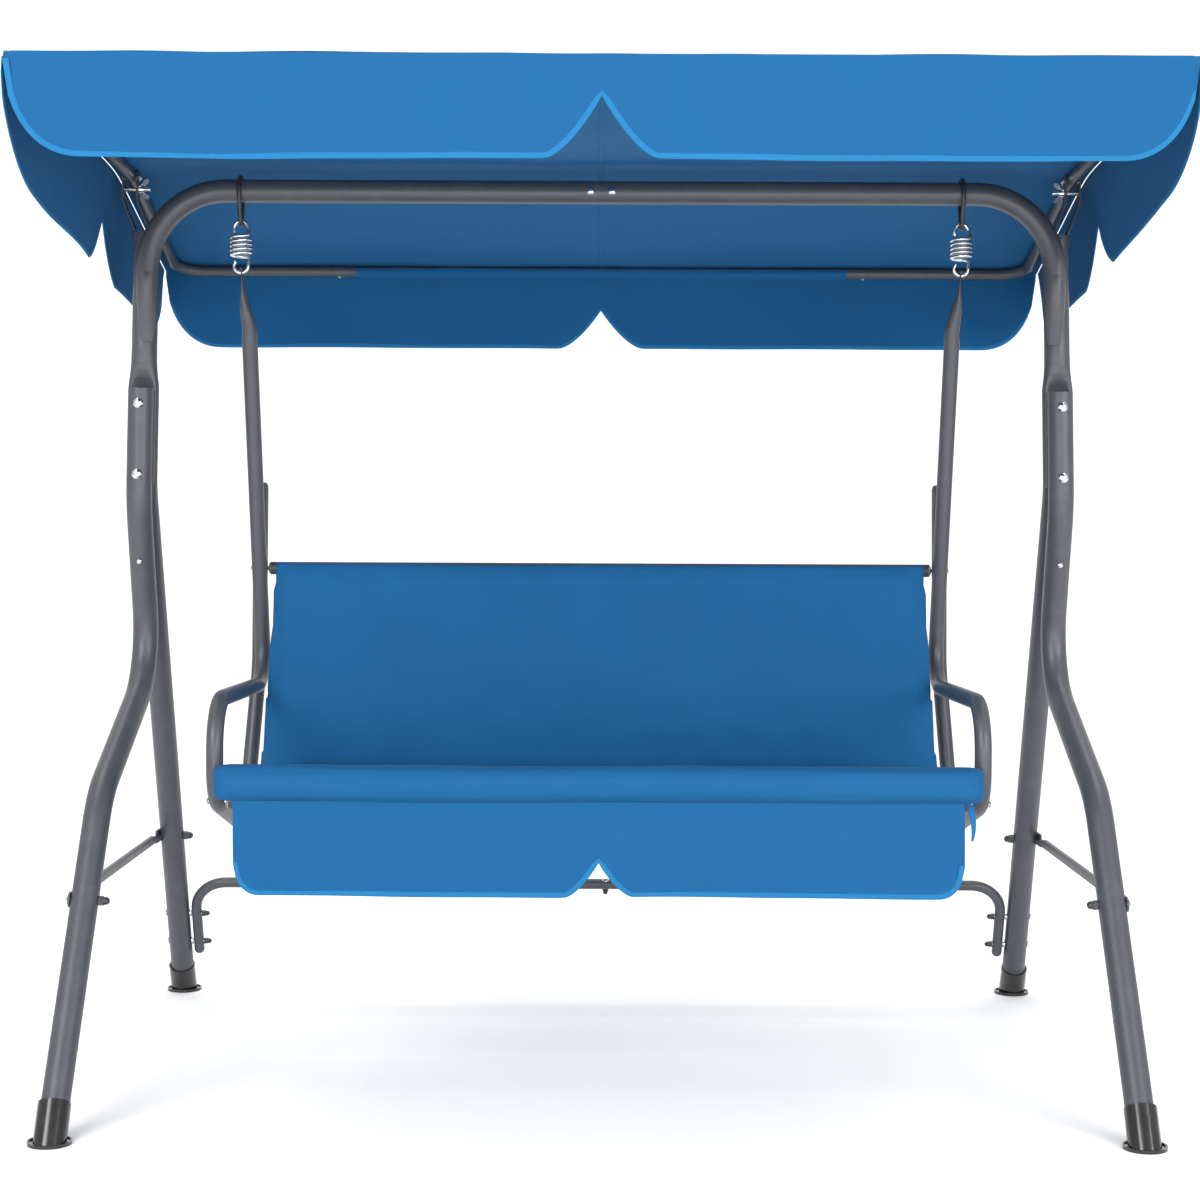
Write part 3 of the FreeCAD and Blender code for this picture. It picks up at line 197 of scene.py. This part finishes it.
def make_weave_group():
    """Crossed threads, slubs and slow fading over the cloth."""
    tree = bpy.data.node_groups.new("Canvas weave", "ShaderNodeTree")
    group_sockets(tree, [("Vector", "NodeSocketVector", None), ("Threads", "NodeSocketFloat", 900.0),
                         ("Colour", "NodeSocketColor", (0.02, 0.2, 0.5, 1)),
                         ("Deep colour", "NodeSocketColor", (0.01, 0.1, 0.3, 1))],
                  [("Colour", "NodeSocketColor"), ("Height", "NodeSocketFloat"),
                   ("Roughness", "NodeSocketFloat")])
    enter = tree.nodes.new("NodeGroupInput")
    leave = tree.nodes.new("NodeGroupOutput")
    split = tree.nodes.new("ShaderNodeSeparateXYZ")
    tree.links.new(enter.outputs["Vector"], split.inputs[0])
    waves = []
    for axis in (0, 1):
        phase = math_node(tree, "MULTIPLY", split.outputs[axis], enter.outputs["Threads"])
        waves.append(math_node(tree, "SINE", phase))
    cross = math_node(tree, "MULTIPLY", waves[0], waves[1])
    slubs = tree.nodes.new("ShaderNodeTexNoise")
    slubs.inputs["Scale"].default_value = 420.0
    slubs.inputs["Detail"].default_value = 3.0
    tree.links.new(enter.outputs["Vector"], slubs.inputs["Vector"])
    fade = tree.nodes.new("ShaderNodeTexNoise")
    fade.inputs["Scale"].default_value = 9.0
    fade.inputs["Detail"].default_value = 4.0
    tree.links.new(enter.outputs["Vector"], fade.inputs["Vector"])
    thread = math_node(tree, "MULTIPLY", cross, 0.22)
    grain = math_node(tree, "ADD", thread, slubs.outputs["Fac"])
    height = math_node(tree, "MULTIPLY", grain, 0.5)
    slow = math_node(tree, "MULTIPLY", fade.outputs["Fac"], 0.35)
    tone = math_node(tree, "ADD", math_node(tree, "MULTIPLY", grain, 0.75), slow, clamp=True)
    tinted = colour_mix(tree, tone, enter.outputs["Deep colour"], enter.outputs["Colour"])
    rough = math_node(tree, "ADD", math_node(tree, "MULTIPLY", slubs.outputs["Fac"], 0.16), 0.74)
    tree.links.new(tinted, leave.inputs["Colour"])
    tree.links.new(height, leave.inputs["Height"])
    tree.links.new(rough, leave.inputs["Roughness"])
    return tree


def make_coat_group():
    """The orange peel and fine rubbed marks of a coated or plated tube."""
    tree = bpy.data.node_groups.new("Coat grain", "ShaderNodeTree")
    group_sockets(tree, [("Vector", "NodeSocketVector", None), ("Grain", "NodeSocketFloat", 900.0),
                         ("Colour", "NodeSocketColor", (0.1, 0.1, 0.1, 1)),
                         ("Rubbed colour", "NodeSocketColor", (0.2, 0.2, 0.2, 1)),
                         ("Base roughness", "NodeSocketFloat", 0.4)],
                  [("Colour", "NodeSocketColor"), ("Height", "NodeSocketFloat"),
                   ("Roughness", "NodeSocketFloat")])
    enter = tree.nodes.new("NodeGroupInput")
    leave = tree.nodes.new("NodeGroupOutput")
    peel = tree.nodes.new("ShaderNodeTexNoise")
    peel.inputs["Detail"].default_value = 2.0
    tree.links.new(enter.outputs["Vector"], peel.inputs["Vector"])
    tree.links.new(enter.outputs["Grain"], peel.inputs["Scale"])
    marks = tree.nodes.new("ShaderNodeTexNoise")
    marks.inputs["Scale"].default_value = 26.0
    marks.inputs["Detail"].default_value = 7.0
    marks.inputs["Roughness"].default_value = 0.7
    tree.links.new(enter.outputs["Vector"], marks.inputs["Vector"])
    rubbed = tree.nodes.new("ShaderNodeMapRange")
    rubbed.inputs["From Min"].default_value = 0.52
    rubbed.inputs["From Max"].default_value = 0.78
    tree.links.new(marks.outputs["Fac"], rubbed.inputs["Value"])
    tinted = colour_mix(tree, rubbed.outputs[0], enter.outputs["Colour"],
                        enter.outputs["Rubbed colour"])
    spread = math_node(tree, "MULTIPLY", marks.outputs["Fac"], 0.18)
    rough = math_node(tree, "ADD", enter.outputs["Base roughness"],
                      math_node(tree, "SUBTRACT", spread, 0.09))
    tree.links.new(tinted, leave.inputs["Colour"])
    tree.links.new(peel.outputs["Fac"], leave.inputs["Height"])
    tree.links.new(rough, leave.inputs["Roughness"])
    return tree


WEAVE = make_weave_group()
COAT = make_coat_group()


def bump_into(tree, shader, height, strength, distance):
    bump = tree.nodes.new("ShaderNodeBump")
    bump.inputs["Strength"].default_value = strength
    bump.inputs["Distance"].default_value = distance
    tree.links.new(height, bump.inputs["Height"])
    tree.links.new(bump.outputs[0], shader.inputs["Normal"])


def coated(name, colour, rubbed, roughness, grain, bump, metallic=0.0, coat=0.0):
    """A material for tubes, plastics and fasteners, on Object coordinates."""
    material, made, links = new_material(name)
    shader = made["Principled BSDF"]
    where = made.new("ShaderNodeTexCoord")
    effect = made.new("ShaderNodeGroup")
    effect.node_tree = COAT
    links.new(where.outputs["Object"], effect.inputs["Vector"])
    effect.inputs["Grain"].default_value = grain
    effect.inputs["Colour"].default_value = (*colour, 1)
    effect.inputs["Rubbed colour"].default_value = (*rubbed, 1)
    effect.inputs["Base roughness"].default_value = roughness
    links.new(effect.outputs["Colour"], shader.inputs["Base Color"])
    links.new(effect.outputs["Roughness"], shader.inputs["Roughness"])
    shader.inputs["Metallic"].default_value = metallic
    shader.inputs["Coat Weight"].default_value = coat
    bump_into(material.node_tree, shader, effect.outputs["Height"], bump, 0.0004)
    return material


def canvas(name, colour, deep, threads, turn=(0, 0, 0), mapped=False, bump=0.35):
    """Woven cloth, on the piece's UV map or on Object coordinates turned to lie along it."""
    material, made, links = new_material(name)
    shader = made["Principled BSDF"]
    where = made.new("ShaderNodeTexCoord")
    lay = made.new("ShaderNodeMapping")
    lay.inputs["Rotation"].default_value = tuple(math.radians(a) for a in turn)
    links.new(where.outputs["UV" if mapped else "Object"], lay.inputs["Vector"])
    effect = made.new("ShaderNodeGroup")
    effect.node_tree = WEAVE
    links.new(lay.outputs[0], effect.inputs["Vector"])
    effect.inputs["Threads"].default_value = threads
    effect.inputs["Colour"].default_value = (*colour, 1)
    effect.inputs["Deep colour"].default_value = (*deep, 1)
    links.new(effect.outputs["Colour"], shader.inputs["Base Color"])
    links.new(effect.outputs["Roughness"], shader.inputs["Roughness"])
    shader.inputs["Sheen Weight"].default_value = 0.10
    shader.inputs["Sheen Roughness"].default_value = 0.45
    shader.inputs["Sheen Tint"].default_value = (0.20, 0.45, 0.80, 1)
    shader.inputs["Specular IOR Level"].default_value = 0.2
    bump_into(material.node_tree, shader, effect.outputs["Height"], bump, 0.0006)
    return material


BLUE = (0.0050, 0.094, 0.245)
DEEP_BLUE = (0.0026, 0.056, 0.150)
TAPE_BLUE = (0.014, 0.160, 0.345)
charcoal = coated("Charcoal powder coat", (0.050, 0.054, 0.064), (0.070, 0.074, 0.086),
                  0.40, 1400.0, 0.10)
black_steel = coated("Black coated steel", (0.018, 0.018, 0.020), (0.06, 0.06, 0.065),
                     0.38, 1500.0, 0.08)
foot_plastic = coated("Glossy black plastic", (0.008, 0.008, 0.009), (0.03, 0.03, 0.032),
                      0.20, 600.0, 0.05, coat=0.3)
pale_plastic = coated("Pale plastic", (0.36, 0.34, 0.31), (0.48, 0.46, 0.43), 0.5, 900.0, 0.05)
zinc = coated("Bright zinc", (0.66, 0.67, 0.68), (0.42, 0.43, 0.45),
              0.24, 1100.0, 0.08, metallic=1.0)
cloth_mapped = canvas("Blue canvas on panels", BLUE, DEEP_BLUE, 5200.0, mapped=True)
cloth_upright = canvas("Blue canvas on the backrest", BLUE, DEEP_BLUE, 5200.0, turn=(90, 0, 0))
cloth_flat = canvas("Blue canvas on the seat", BLUE, DEEP_BLUE, 5200.0)
tape = canvas("Binding tape", TAPE_BLUE, BLUE, 7000.0, mapped=True, bump=0.6)

FINISHES = {"charcoal_paint": charcoal, "black_plastic": foot_plastic, "pale_plastic": pale_plastic,
            "black_steel": black_steel, "zinc_steel": zinc, "blue_canvas": cloth_flat}
for part in frame["record"]["subparts"]:
    node = nodes[part["node"]]
    if not node.material_slots:
        node.data.materials.append(None)
    for material_slot in node.material_slots:
        material_slot.material = FINISHES[part["material_slot"]]


# ------------------------------------------------------------------ roof
def roof_line(y):
    """Height of the roof cloth above the side bows."""
    if y < ROOF_CROWN[0]:
        share = (ROOF_CROWN[0] - y) / (ROOF_CROWN[0] - ROOF_FRONT[0])
        height = ROOF_CROWN[1] + share * (ROOF_FRONT[1] - ROOF_CROWN[1])
    else:
        share = (y - ROOF_CROWN[0]) / (ROOF_REAR[0] - ROOF_CROWN[0])
        height = ROOF_CROWN[1] + share * (ROOF_REAR[1] - ROOF_CROWN[1])
    near_crown = max(0.0, 1 - abs(y - ROOF_CROWN[0]) / 0.09)
    return height - 0.0035 * near_crown ** 2


def roof_point(a, b):
    """The roof sheet: stretched over the tubes, hollow between them, rolled at its edges."""
    x = (2 * a - 1) * ROOF_HALF
    y = ROOF_FRONT[0] + b * (ROOF_REAR[0] - ROOF_FRONT[0])
    across = math.cos(math.pi * x / (2 * ROOF_HALF))
    if y > ROOF_CROWN[0]:
        depth, share = REAR_SAG, (y - ROOF_CROWN[0]) / (ROOF_REAR[0] - ROOF_CROWN[0])
    else:
        depth, share = FRONT_SAG, (ROOF_CROWN[0] - y) / (ROOF_CROWN[0] - ROOF_FRONT[0])
    sag = depth * across * max(0.0, math.sin(math.pi * share))
    edge = max(0.0, (abs(x) - (ROOF_HALF - EDGE_ROLL_WIDTH)) / EDGE_ROLL_WIDTH)
    roll = EDGE_ROLL * edge ** 2
    wrinkle = 0.0022 * ripple(x, y * 0.5, 0, 7.0, 3.1) * min(1.0, across * 3)
    return Vector((x, y, roof_line(y) - sag - roll + wrinkle))


roof = panel("roof_cover", 150, 110, roof_point, (1.62, 1.17))
thicken(roof, CLOTH_THICK, -1.0)
smooth(roof, 60)
finish_piece(roof, cloth_mapped, "canopy", "canopy_top_cover")


def scallop(distance, half, drop, corner, notch_half, notch_rise):
    """Depth of a flap at a distance from its middle, with a rounded corner and a curved notch."""
    depth = drop
    x = abs(distance)
    inner = half - corner[0]
    if x > inner:
        share = min(1.0, (x - inner) / corner[0])
        depth -= corner[1] * (1 - math.sqrt(max(0.0, 1 - share ** 2.3)))
    if x < notch_half:
        depth -= notch_rise * (1 - x / notch_half) ** 1.6
    return depth


def bind_edge(name, edge_point, columns, length, body, width=0.0042, thick=0.0013):
    """Folded tape round the lower edge of a flap."""
    def rule(a, b):
        step = 0.5 / columns
        before = edge_point(max(0.0, a - step))
        after = edge_point(min(1.0, a + step))
        along = (after - before).normalized()
        out = edge_point(a, side=True)
        inward = out.cross(along).normalized()
        if inward.z < 0:
            inward = -inward
        angle = 2 * math.pi * b
        ring = inward * (width * 0.85 + width * math.cos(angle)) + out * (thick * math.sin(angle))
        return edge_point(a) + ring
    obj = panel(name, columns, 10, rule, (length, 0.016))
    clean(obj)
    smooth(obj, 70)
    finish_piece(obj, tape, body)
    return obj


def flap(name, columns, point, depth, length, drop, body, replaced):
    """A hanging cloth flap: point(a, d) is d below its top, depth(a) is how far it hangs."""
    def rule(a, b):
        return point(a, (1 - b) * depth(a), 1 - b)
    obj = panel(name, columns, 18, rule, (length, drop))
    thicken(obj, CLOTH_THICK, 0.0)
    smooth(obj, 60)
    finish_piece(obj, cloth_mapped, body, replaced)

    def edge(a, side=False):
        if side:
            ahead = (point(min(1.0, a + 0.01), depth(a), 1.0)
                     - point(max(0.0, a - 0.01), depth(a), 1.0))
            return Vector((-ahead.y, ahead.x, 0)).normalized()
        return point(a, depth(a), 1.0)
    hem = bind_edge(name + "_binding", edge, columns, length, body)
    return obj, hem


FLAP_HANG = ROOF_HALF - 0.001


def front_point(a, down, share):
    x = (2 * a - 1) * FLAP_HANG
    sway = 0.010 * share * ripple(x, 0, down, 6.5, 1.7) + 0.004 * share * math.sin(9 * x)
    lean = -0.002 * share
    return Vector((x, ROOF_FRONT[0] - 0.0015 + lean + sway, ROOF_FRONT[1] - 0.001 - down))


def front_depth(a):
    x = (2 * a - 1) * FLAP_HANG
    bow = 0.003 * math.sin(math.pi * abs(x) / 0.8)
    return scallop(x, FLAP_HANG, FRONT_DROP, FRONT_CORNER, ROOF_NOTCH_HALF, FRONT_NOTCH_RISE) + bow


def rear_point(a, down, share):
    x = (2 * a - 1) * FLAP_HANG
    sway = 0.011 * share * ripple(x, 0, down, 6.5, 4.2) + 0.004 * share * math.sin(8 * x + 1)
    return Vector((x, ROOF_REAR[0] + 0.0015 + 0.004 * share + sway, ROOF_REAR[1] - 0.001 - down))


def rear_depth(a):
    x = (2 * a - 1) * FLAP_HANG
    return scallop(x, FLAP_HANG, REAR_DROP, REAR_CORNER, ROOF_NOTCH_HALF, REAR_NOTCH_RISE)


front_flap, front_hem = flap("roof_flap_front", 240, front_point, front_depth, 1.62, 0.14, "canopy",
                             "canopy_valance_front")
rear_flap, rear_hem = flap("roof_flap_rear", 240, rear_point, rear_depth, 1.62, 0.15, "canopy",
                           "canopy_valance_rear")

SIDE_TIPS = (-0.101, 0.131)
SIDE_NOTCH = 0.032


def side_depth(a):
    """Two lobes, each deepest at its inner tip, with a curved notch between the tips."""
    y = ROOF_FRONT[0] + a * (ROOF_REAR[0] - ROOF_FRONT[0])
    front_tip, rear_tip = SIDE_TIPS
    if y <= front_tip:
        reach = (y - ROOF_FRONT[0]) / (front_tip - ROOF_FRONT[0])
        rounded = math.sqrt(max(0.0, 1 - (1 - min(1.0, reach / 0.36)) ** 2.2))
        return 0.020 + 0.118 * rounded + 0.038 * reach ** 1.5
    if y >= rear_tip:
        reach = (ROOF_REAR[0] - y) / (ROOF_REAR[0] - rear_tip)
        rounded = math.sqrt(max(0.0, 1 - (1 - min(1.0, reach / 0.42)) ** 2.2))
        return 0.020 + 0.124 * rounded + 0.034 * reach ** 1.5
    if y < SIDE_NOTCH:
        share = (y - front_tip) / (SIDE_NOTCH - front_tip)
        return 0.176 - 0.084 * share ** 1.5
    share = (rear_tip - y) / (rear_tip - SIDE_NOTCH)
    return 0.178 - 0.086 * share ** 1.5


def side_rule(s):
    def point(a, down, share):
        y = ROOF_FRONT[0] + a * (ROOF_REAR[0] - ROOF_FRONT[0])
        sway = 0.005 * share * ripple(s, y, down, 5.0, 6.3) + 0.004 * share * math.sin(14 * y)
        x = ROOF_HALF + 0.0015 + 0.004 * share + sway
        return Vector((s * x, y, roof_line(y) - 0.0075 - down))
    return point


for side, s in (("left", -1), ("right", 1)):
    side_flap, side_hem = flap("roof_flap_" + side, 200, side_rule(s), side_depth, 1.17, 0.17,
                               "canopy", "canopy_valance_" + side)


def seam_point(y_from, y_to, x, radius):
    """A sewn fold under the roof, along its length."""
    def rule(a, b):
        y = y_from + a * (y_to - y_from)
        angle = 2 * math.pi * b
        middle = roof_point((x / ROOF_HALF + 1) / 2,
                            (y - ROOF_FRONT[0]) / (ROOF_REAR[0] - ROOF_FRONT[0]))
        return Vector((x + radius * 2.2 * math.cos(angle), y,
                       middle.z - 0.0014 + radius * 0.5 * math.sin(angle)))
    return rule


middle_seam = panel("roof_seam", 60, 8, seam_point(-0.623, 0.517, 0.0, 0.0022), (1.14, 0.02))
clean(middle_seam)
smooth(middle_seam, 70)
finish_piece(middle_seam, cloth_mapped, "canopy")


def sleeve_rule(tube_y, tube_z, half, radius):
    """Cloth taken round a canopy tube and sewn to the roof above it."""
    def rule(a, b):
        x = (2 * a - 1) * half
        angle = math.radians(-35 + 250 * b)
        puff = radius * (1 + 0.05 * ripple(x, b, 0, 9.0, 8.8))
        return Vector((x, tube_y - puff * math.cos(angle), tube_z - puff * math.sin(angle)))
    return rule


front_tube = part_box("canopy_front_tube")
rear_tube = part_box("canopy_rear_tube")
for name, box, half in (("roof_sleeve_front", front_tube, 0.700),
                        ("roof_sleeve_rear", rear_tube, 0.452)):
    middle_y = (box[0][1] + box[1][1]) / 2
    middle_z = (box[0][2] + box[1][2]) / 2
    sleeve = panel(name, 90, 22, sleeve_rule(middle_y, middle_z, half, 0.0108), (2 * half, 0.05))
    thicken(sleeve, 0.0008, 1.0)
    smooth(sleeve, 60)
    finish_piece(sleeve, cloth_mapped, "canopy")


# ------------------------------------------------------------------ seat
def roll_rule(a, b):
    """The stuffed roll along the front of the seat, pinched flat where its ends are sewn."""
    x = (2 * a - 1) * ROLL_HALF
    end = min(1.0, (ROLL_HALF - abs(x)) / 0.030)
    full = math.sqrt(max(0.0, 1 - (1 - end) ** 2))
    angle = 2 * math.pi * b
    reach_y = 0.0275 * (0.12 + 0.88 * full)
    reach_z = 0.0275 * (0.72 + 0.28 * full)
    pucker = 1 + 0.05 * ripple(x, math.cos(angle), math.sin(angle), 6.0, 2.2)
    gather = 1 + 0.07 * (1 - full) * math.sin(angle * 9)
    out_y = math.copysign(abs(math.cos(angle)) ** 0.85, math.cos(angle))
    y = ROLL_MIDDLE[0] - reach_y * pucker * gather * out_y
    if abs(x) > 0.560:
        y = min(y, -0.2838)
    out_z = math.copysign(abs(math.sin(angle)) ** 0.8, math.sin(angle))
    z = ROLL_MIDDLE[1] + reach_z * pucker * out_z
    z += 0.002 * ripple(x, 0, 0, 3.0, 5.0)
    return Vector((x, y, z))


roll = panel("seat_roll", 260, 40, roll_rule, (1.16, 0.175))
clean(roll)
smooth(roll, 70)
finish_piece(roll, cloth_mapped, "seat", "seat_front_roll")


def seat_flap_point(a, down, share):
    x = (2 * a - 1) * FLAP_HALF
    sway = 0.011 * share * ripple(x, 0, down, 6.0, 9.4) + 0.004 * share * math.sin(10 * x)
    return Vector((x, -0.3135 - 0.003 * share + sway, FLAP_TOP - down))


def seat_flap_depth(a):
    x = (2 * a - 1) * FLAP_HALF
    return scallop(x, FLAP_HALF, FLAP_DROP, SEAT_CORNER, SEAT_NOTCH, SEAT_NOTCH)


seat_flap, seat_hem = flap("seat_flap", 240, seat_flap_point, seat_flap_depth, 1.10, 0.143,
                           "seat", "seat_valance")


def stuff(obj, cap):
    """Fills a closed pad with air, holds how far it may swell and keeps the result."""
    pick(obj)
    remesh = obj.modifiers.new("even cells", "REMESH")
    remesh.mode = "VOXEL"
    remesh.voxel_size = PAD_CELL
    apply_modifiers(obj)
    rest = [vertex.co.copy() for vertex in obj.data.vertices]
    cloth = obj.modifiers.new("swell", "CLOTH")
    cloth.settings.use_pressure = True
    cloth.settings.uniform_pressure_force = PAD_PRESSURE
    cloth.settings.effector_weights.gravity = 0.0
    cloth.settings.quality = 4
    cloth.point_cache.frame_start = 1
    cloth.point_cache.frame_end = PAD_FRAMES
    for step in range(1, PAD_FRAMES + 1):
        bpy.context.scene.frame_set(step)
    apply_modifiers(obj)
    bpy.context.scene.frame_set(1)
    for vertex, start in zip(obj.data.vertices, rest):
        move = vertex.co - start
        if move.length > cap:
            vertex.co = start + move * (cap / move.length)


def pad_block(name, rule, counts):
    """A block cut into cells, each corner then set by rule(x, y, z) with each from -0.5 to 0.5."""
    bpy.ops.object.select_all(action="DESELECT")
    bpy.ops.mesh.primitive_cube_add(size=1.0)
    obj = bpy.context.object
    obj.name = name
    bpy.ops.object.mode_set(mode="EDIT")
    bpy.ops.mesh.select_all(action="SELECT")
    bpy.ops.mesh.subdivide(number_cuts=counts)
    bpy.ops.object.mode_set(mode="OBJECT")
    for vertex in obj.data.vertices:
        vertex.co = rule(*vertex.co)
    return obj


def back_rule(u, v, w):
    """The backrest: narrower at its top, leaning back, thin at its sides, with a wavy hem."""
    height = w + 0.5
    half = 0.586 - 0.025 * height
    x = 2 * u * half
    z = BACK_FOOT + height * BACK_HEIGHT + 0.003 * height * ripple(x, 0, 0, 4.0, 1.1)
    middle = 0.169 + (z - BACK_FOOT) * 0.083
    side = min(1.0, (0.5 - abs(u)) / 0.05)
    rim = min(1.0, (0.5 - abs(w)) / 0.10)
    side_full = 0.35 + 0.65 * math.sqrt(side * (2 - side))
    rim_full = 0.45 + 0.55 * math.sqrt(rim * (2 - rim))
    thick = 0.022 * side_full * rim_full
    return Vector((x, middle + v * thick, z))


back_pad = pad_block("back_pad", back_rule, 40)
stuff(back_pad, 0.006)


def crease_back(obj):
    """Soft folds running down from the top corners and across the middle."""
    for vertex in obj.data.vertices:
        x, y, z = vertex.co
        edge = min(1.0, (0.59 - abs(x)) / 0.06)
        fold = (0.0065 * ripple(x * 0.6 + z * 0.5, 0, z * 0.4, 9.0, 7.7)
                + 0.0022 * ripple(x, 0, z, 24.0, 3.3))
        vertex.co.y = y + fold * (0.4 + 0.6 * edge)


crease_back(back_pad)
smooth(back_pad, 70)
finish_piece(back_pad, cloth_upright, "seat", "back_cushion")


def seat_rule(u, v, w):
    """The seat: a sling between the front and rear rails, a little hollow where one sits."""
    x = 2 * u * 0.554
    y = -0.050 + v * 0.455
    along = v + 0.5
    top = 0.507 - 0.091 * along
    hollow = 0.010 * math.sin(math.pi * along) * math.cos(math.pi * u)
    side = min(1.0, (0.5 - abs(u)) / 0.05)
    thick = 0.020 * (0.35 + 0.65 * math.sqrt(side * (2 - side)))
    return Vector((x, y, top - hollow + w * thick))


seat_pad = pad_block("seat_pad", seat_rule, 40)
stuff(seat_pad, 0.005)
for pad_vertex in seat_pad.data.vertices:
    px, py, pz = pad_vertex.co
    pad_vertex.co.z = pz + 0.0025 * ripple(px, py, 0, 8.0, 5.5)
smooth(seat_pad, 70)
finish_piece(seat_pad, cloth_flat, "seat", "seat_cushion")


def ribbon_rule(a, b):
    """A short tie hanging from the end of the roll, curling as it falls."""
    down = a * 0.055
    twist = 1.1 * a
    across = (b - 0.5) * 0.010
    x = 0.5600 + 0.006 * math.sin(2.4 * a) + across * math.cos(twist)
    y = -0.292 + across * math.sin(twist) - 0.003 * a * a
    return Vector((x, y, 0.472 - down))


ribbon = panel("seat_tie", 24, 4, ribbon_rule, (0.055, 0.010))
thicken(ribbon, 0.0009, 0.0)
smooth(ribbon, 60)
finish_piece(ribbon, tape, "seat", "tie_ribbon")


# ------------------------------------------------------------------ stage, light and camera
def sweep_rule(a, b):
    x = (a - 0.5) * 16
    run = b * 14 - 5
    if run < 4:
        return Vector((x, run, 0))
    bend = min(1.0, (run - 4) / 2.5) * math.pi / 2
    rise = max(0.0, run - 6.5)
    return Vector((x, 4 + 1.6 * math.sin(bend), 1.6 * (1 - math.cos(bend)) + rise))


floor = panel("studio_floor", 20, 90, sweep_rule, (16, 14))
smooth(floor, 60)
paper, paper_nodes, paper_links = new_material("Pale paper")
paper_shader = paper_nodes["Principled BSDF"]
paper_grain = paper_nodes.new("ShaderNodeTexNoise")
paper_grain.inputs["Scale"].default_value = 3.0
paper_tone = paper_nodes.new("ShaderNodeMapRange")
paper_tone.inputs["To Min"].default_value = 0.94
paper_tone.inputs["To Max"].default_value = 0.96
paper_links.new(paper_grain.outputs["Fac"], paper_tone.inputs["Value"])
paper_links.new(paper_tone.outputs[0], paper_shader.inputs["Base Color"])
paper_shader.inputs["Roughness"].default_value = 0.9
floor.data.materials.append(paper)


def area_light(name, place, target, size, power):
    data = bpy.data.lights.new(name, "AREA")
    data.shape = "RECTANGLE"
    data.size = size[0]
    data.size_y = size[1]
    data.energy = power
    lamp = bpy.data.objects.new(name, data)
    bpy.context.scene.collection.objects.link(lamp)
    lamp.location = place
    lamp.rotation_euler = (Vector(target) - Vector(place)).to_track_quat("-Z", "Y").to_euler()


area_light("key", (-2.6, -4.2, 3.0), (0, 0, 0.8), (2.6, 2.6), 190)
area_light("fill", (3.2, -3.6, 2.0), (0, 0, 0.8), (2.4, 2.4), 130)
area_light("low", (0, -4.4, 0.5), (0, 0, 0.9), (3.6, 0.9), 60)
area_light("top", (0, 0.6, 4.2), (0, 0, 0), (4.5, 3.5), 150)

world = bpy.context.scene.world or bpy.data.worlds.new("Studio")
bpy.context.scene.world = world
world.use_nodes = True
world.node_tree.nodes["Background"].inputs[0].default_value = (1, 1, 1, 1)
world.node_tree.nodes["Background"].inputs[1].default_value = 0.70
bpy.context.scene.view_settings.view_transform = "Standard"

camera_data = bpy.data.cameras.new("front_view")
camera_data.lens = CAMERA_LENS
camera_data.sensor_width = 36
camera = bpy.data.objects.new("front_view", camera_data)
bpy.context.scene.collection.objects.link(camera)
camera.location = CAMERA_PLACE
camera.rotation_mode = "XYZ"
camera.rotation_euler = (math.radians(CAMERA_TILT), math.radians(CAMERA_ROLL), 0)
bpy.context.scene.camera = camera

bpy.context.view_layer.update()
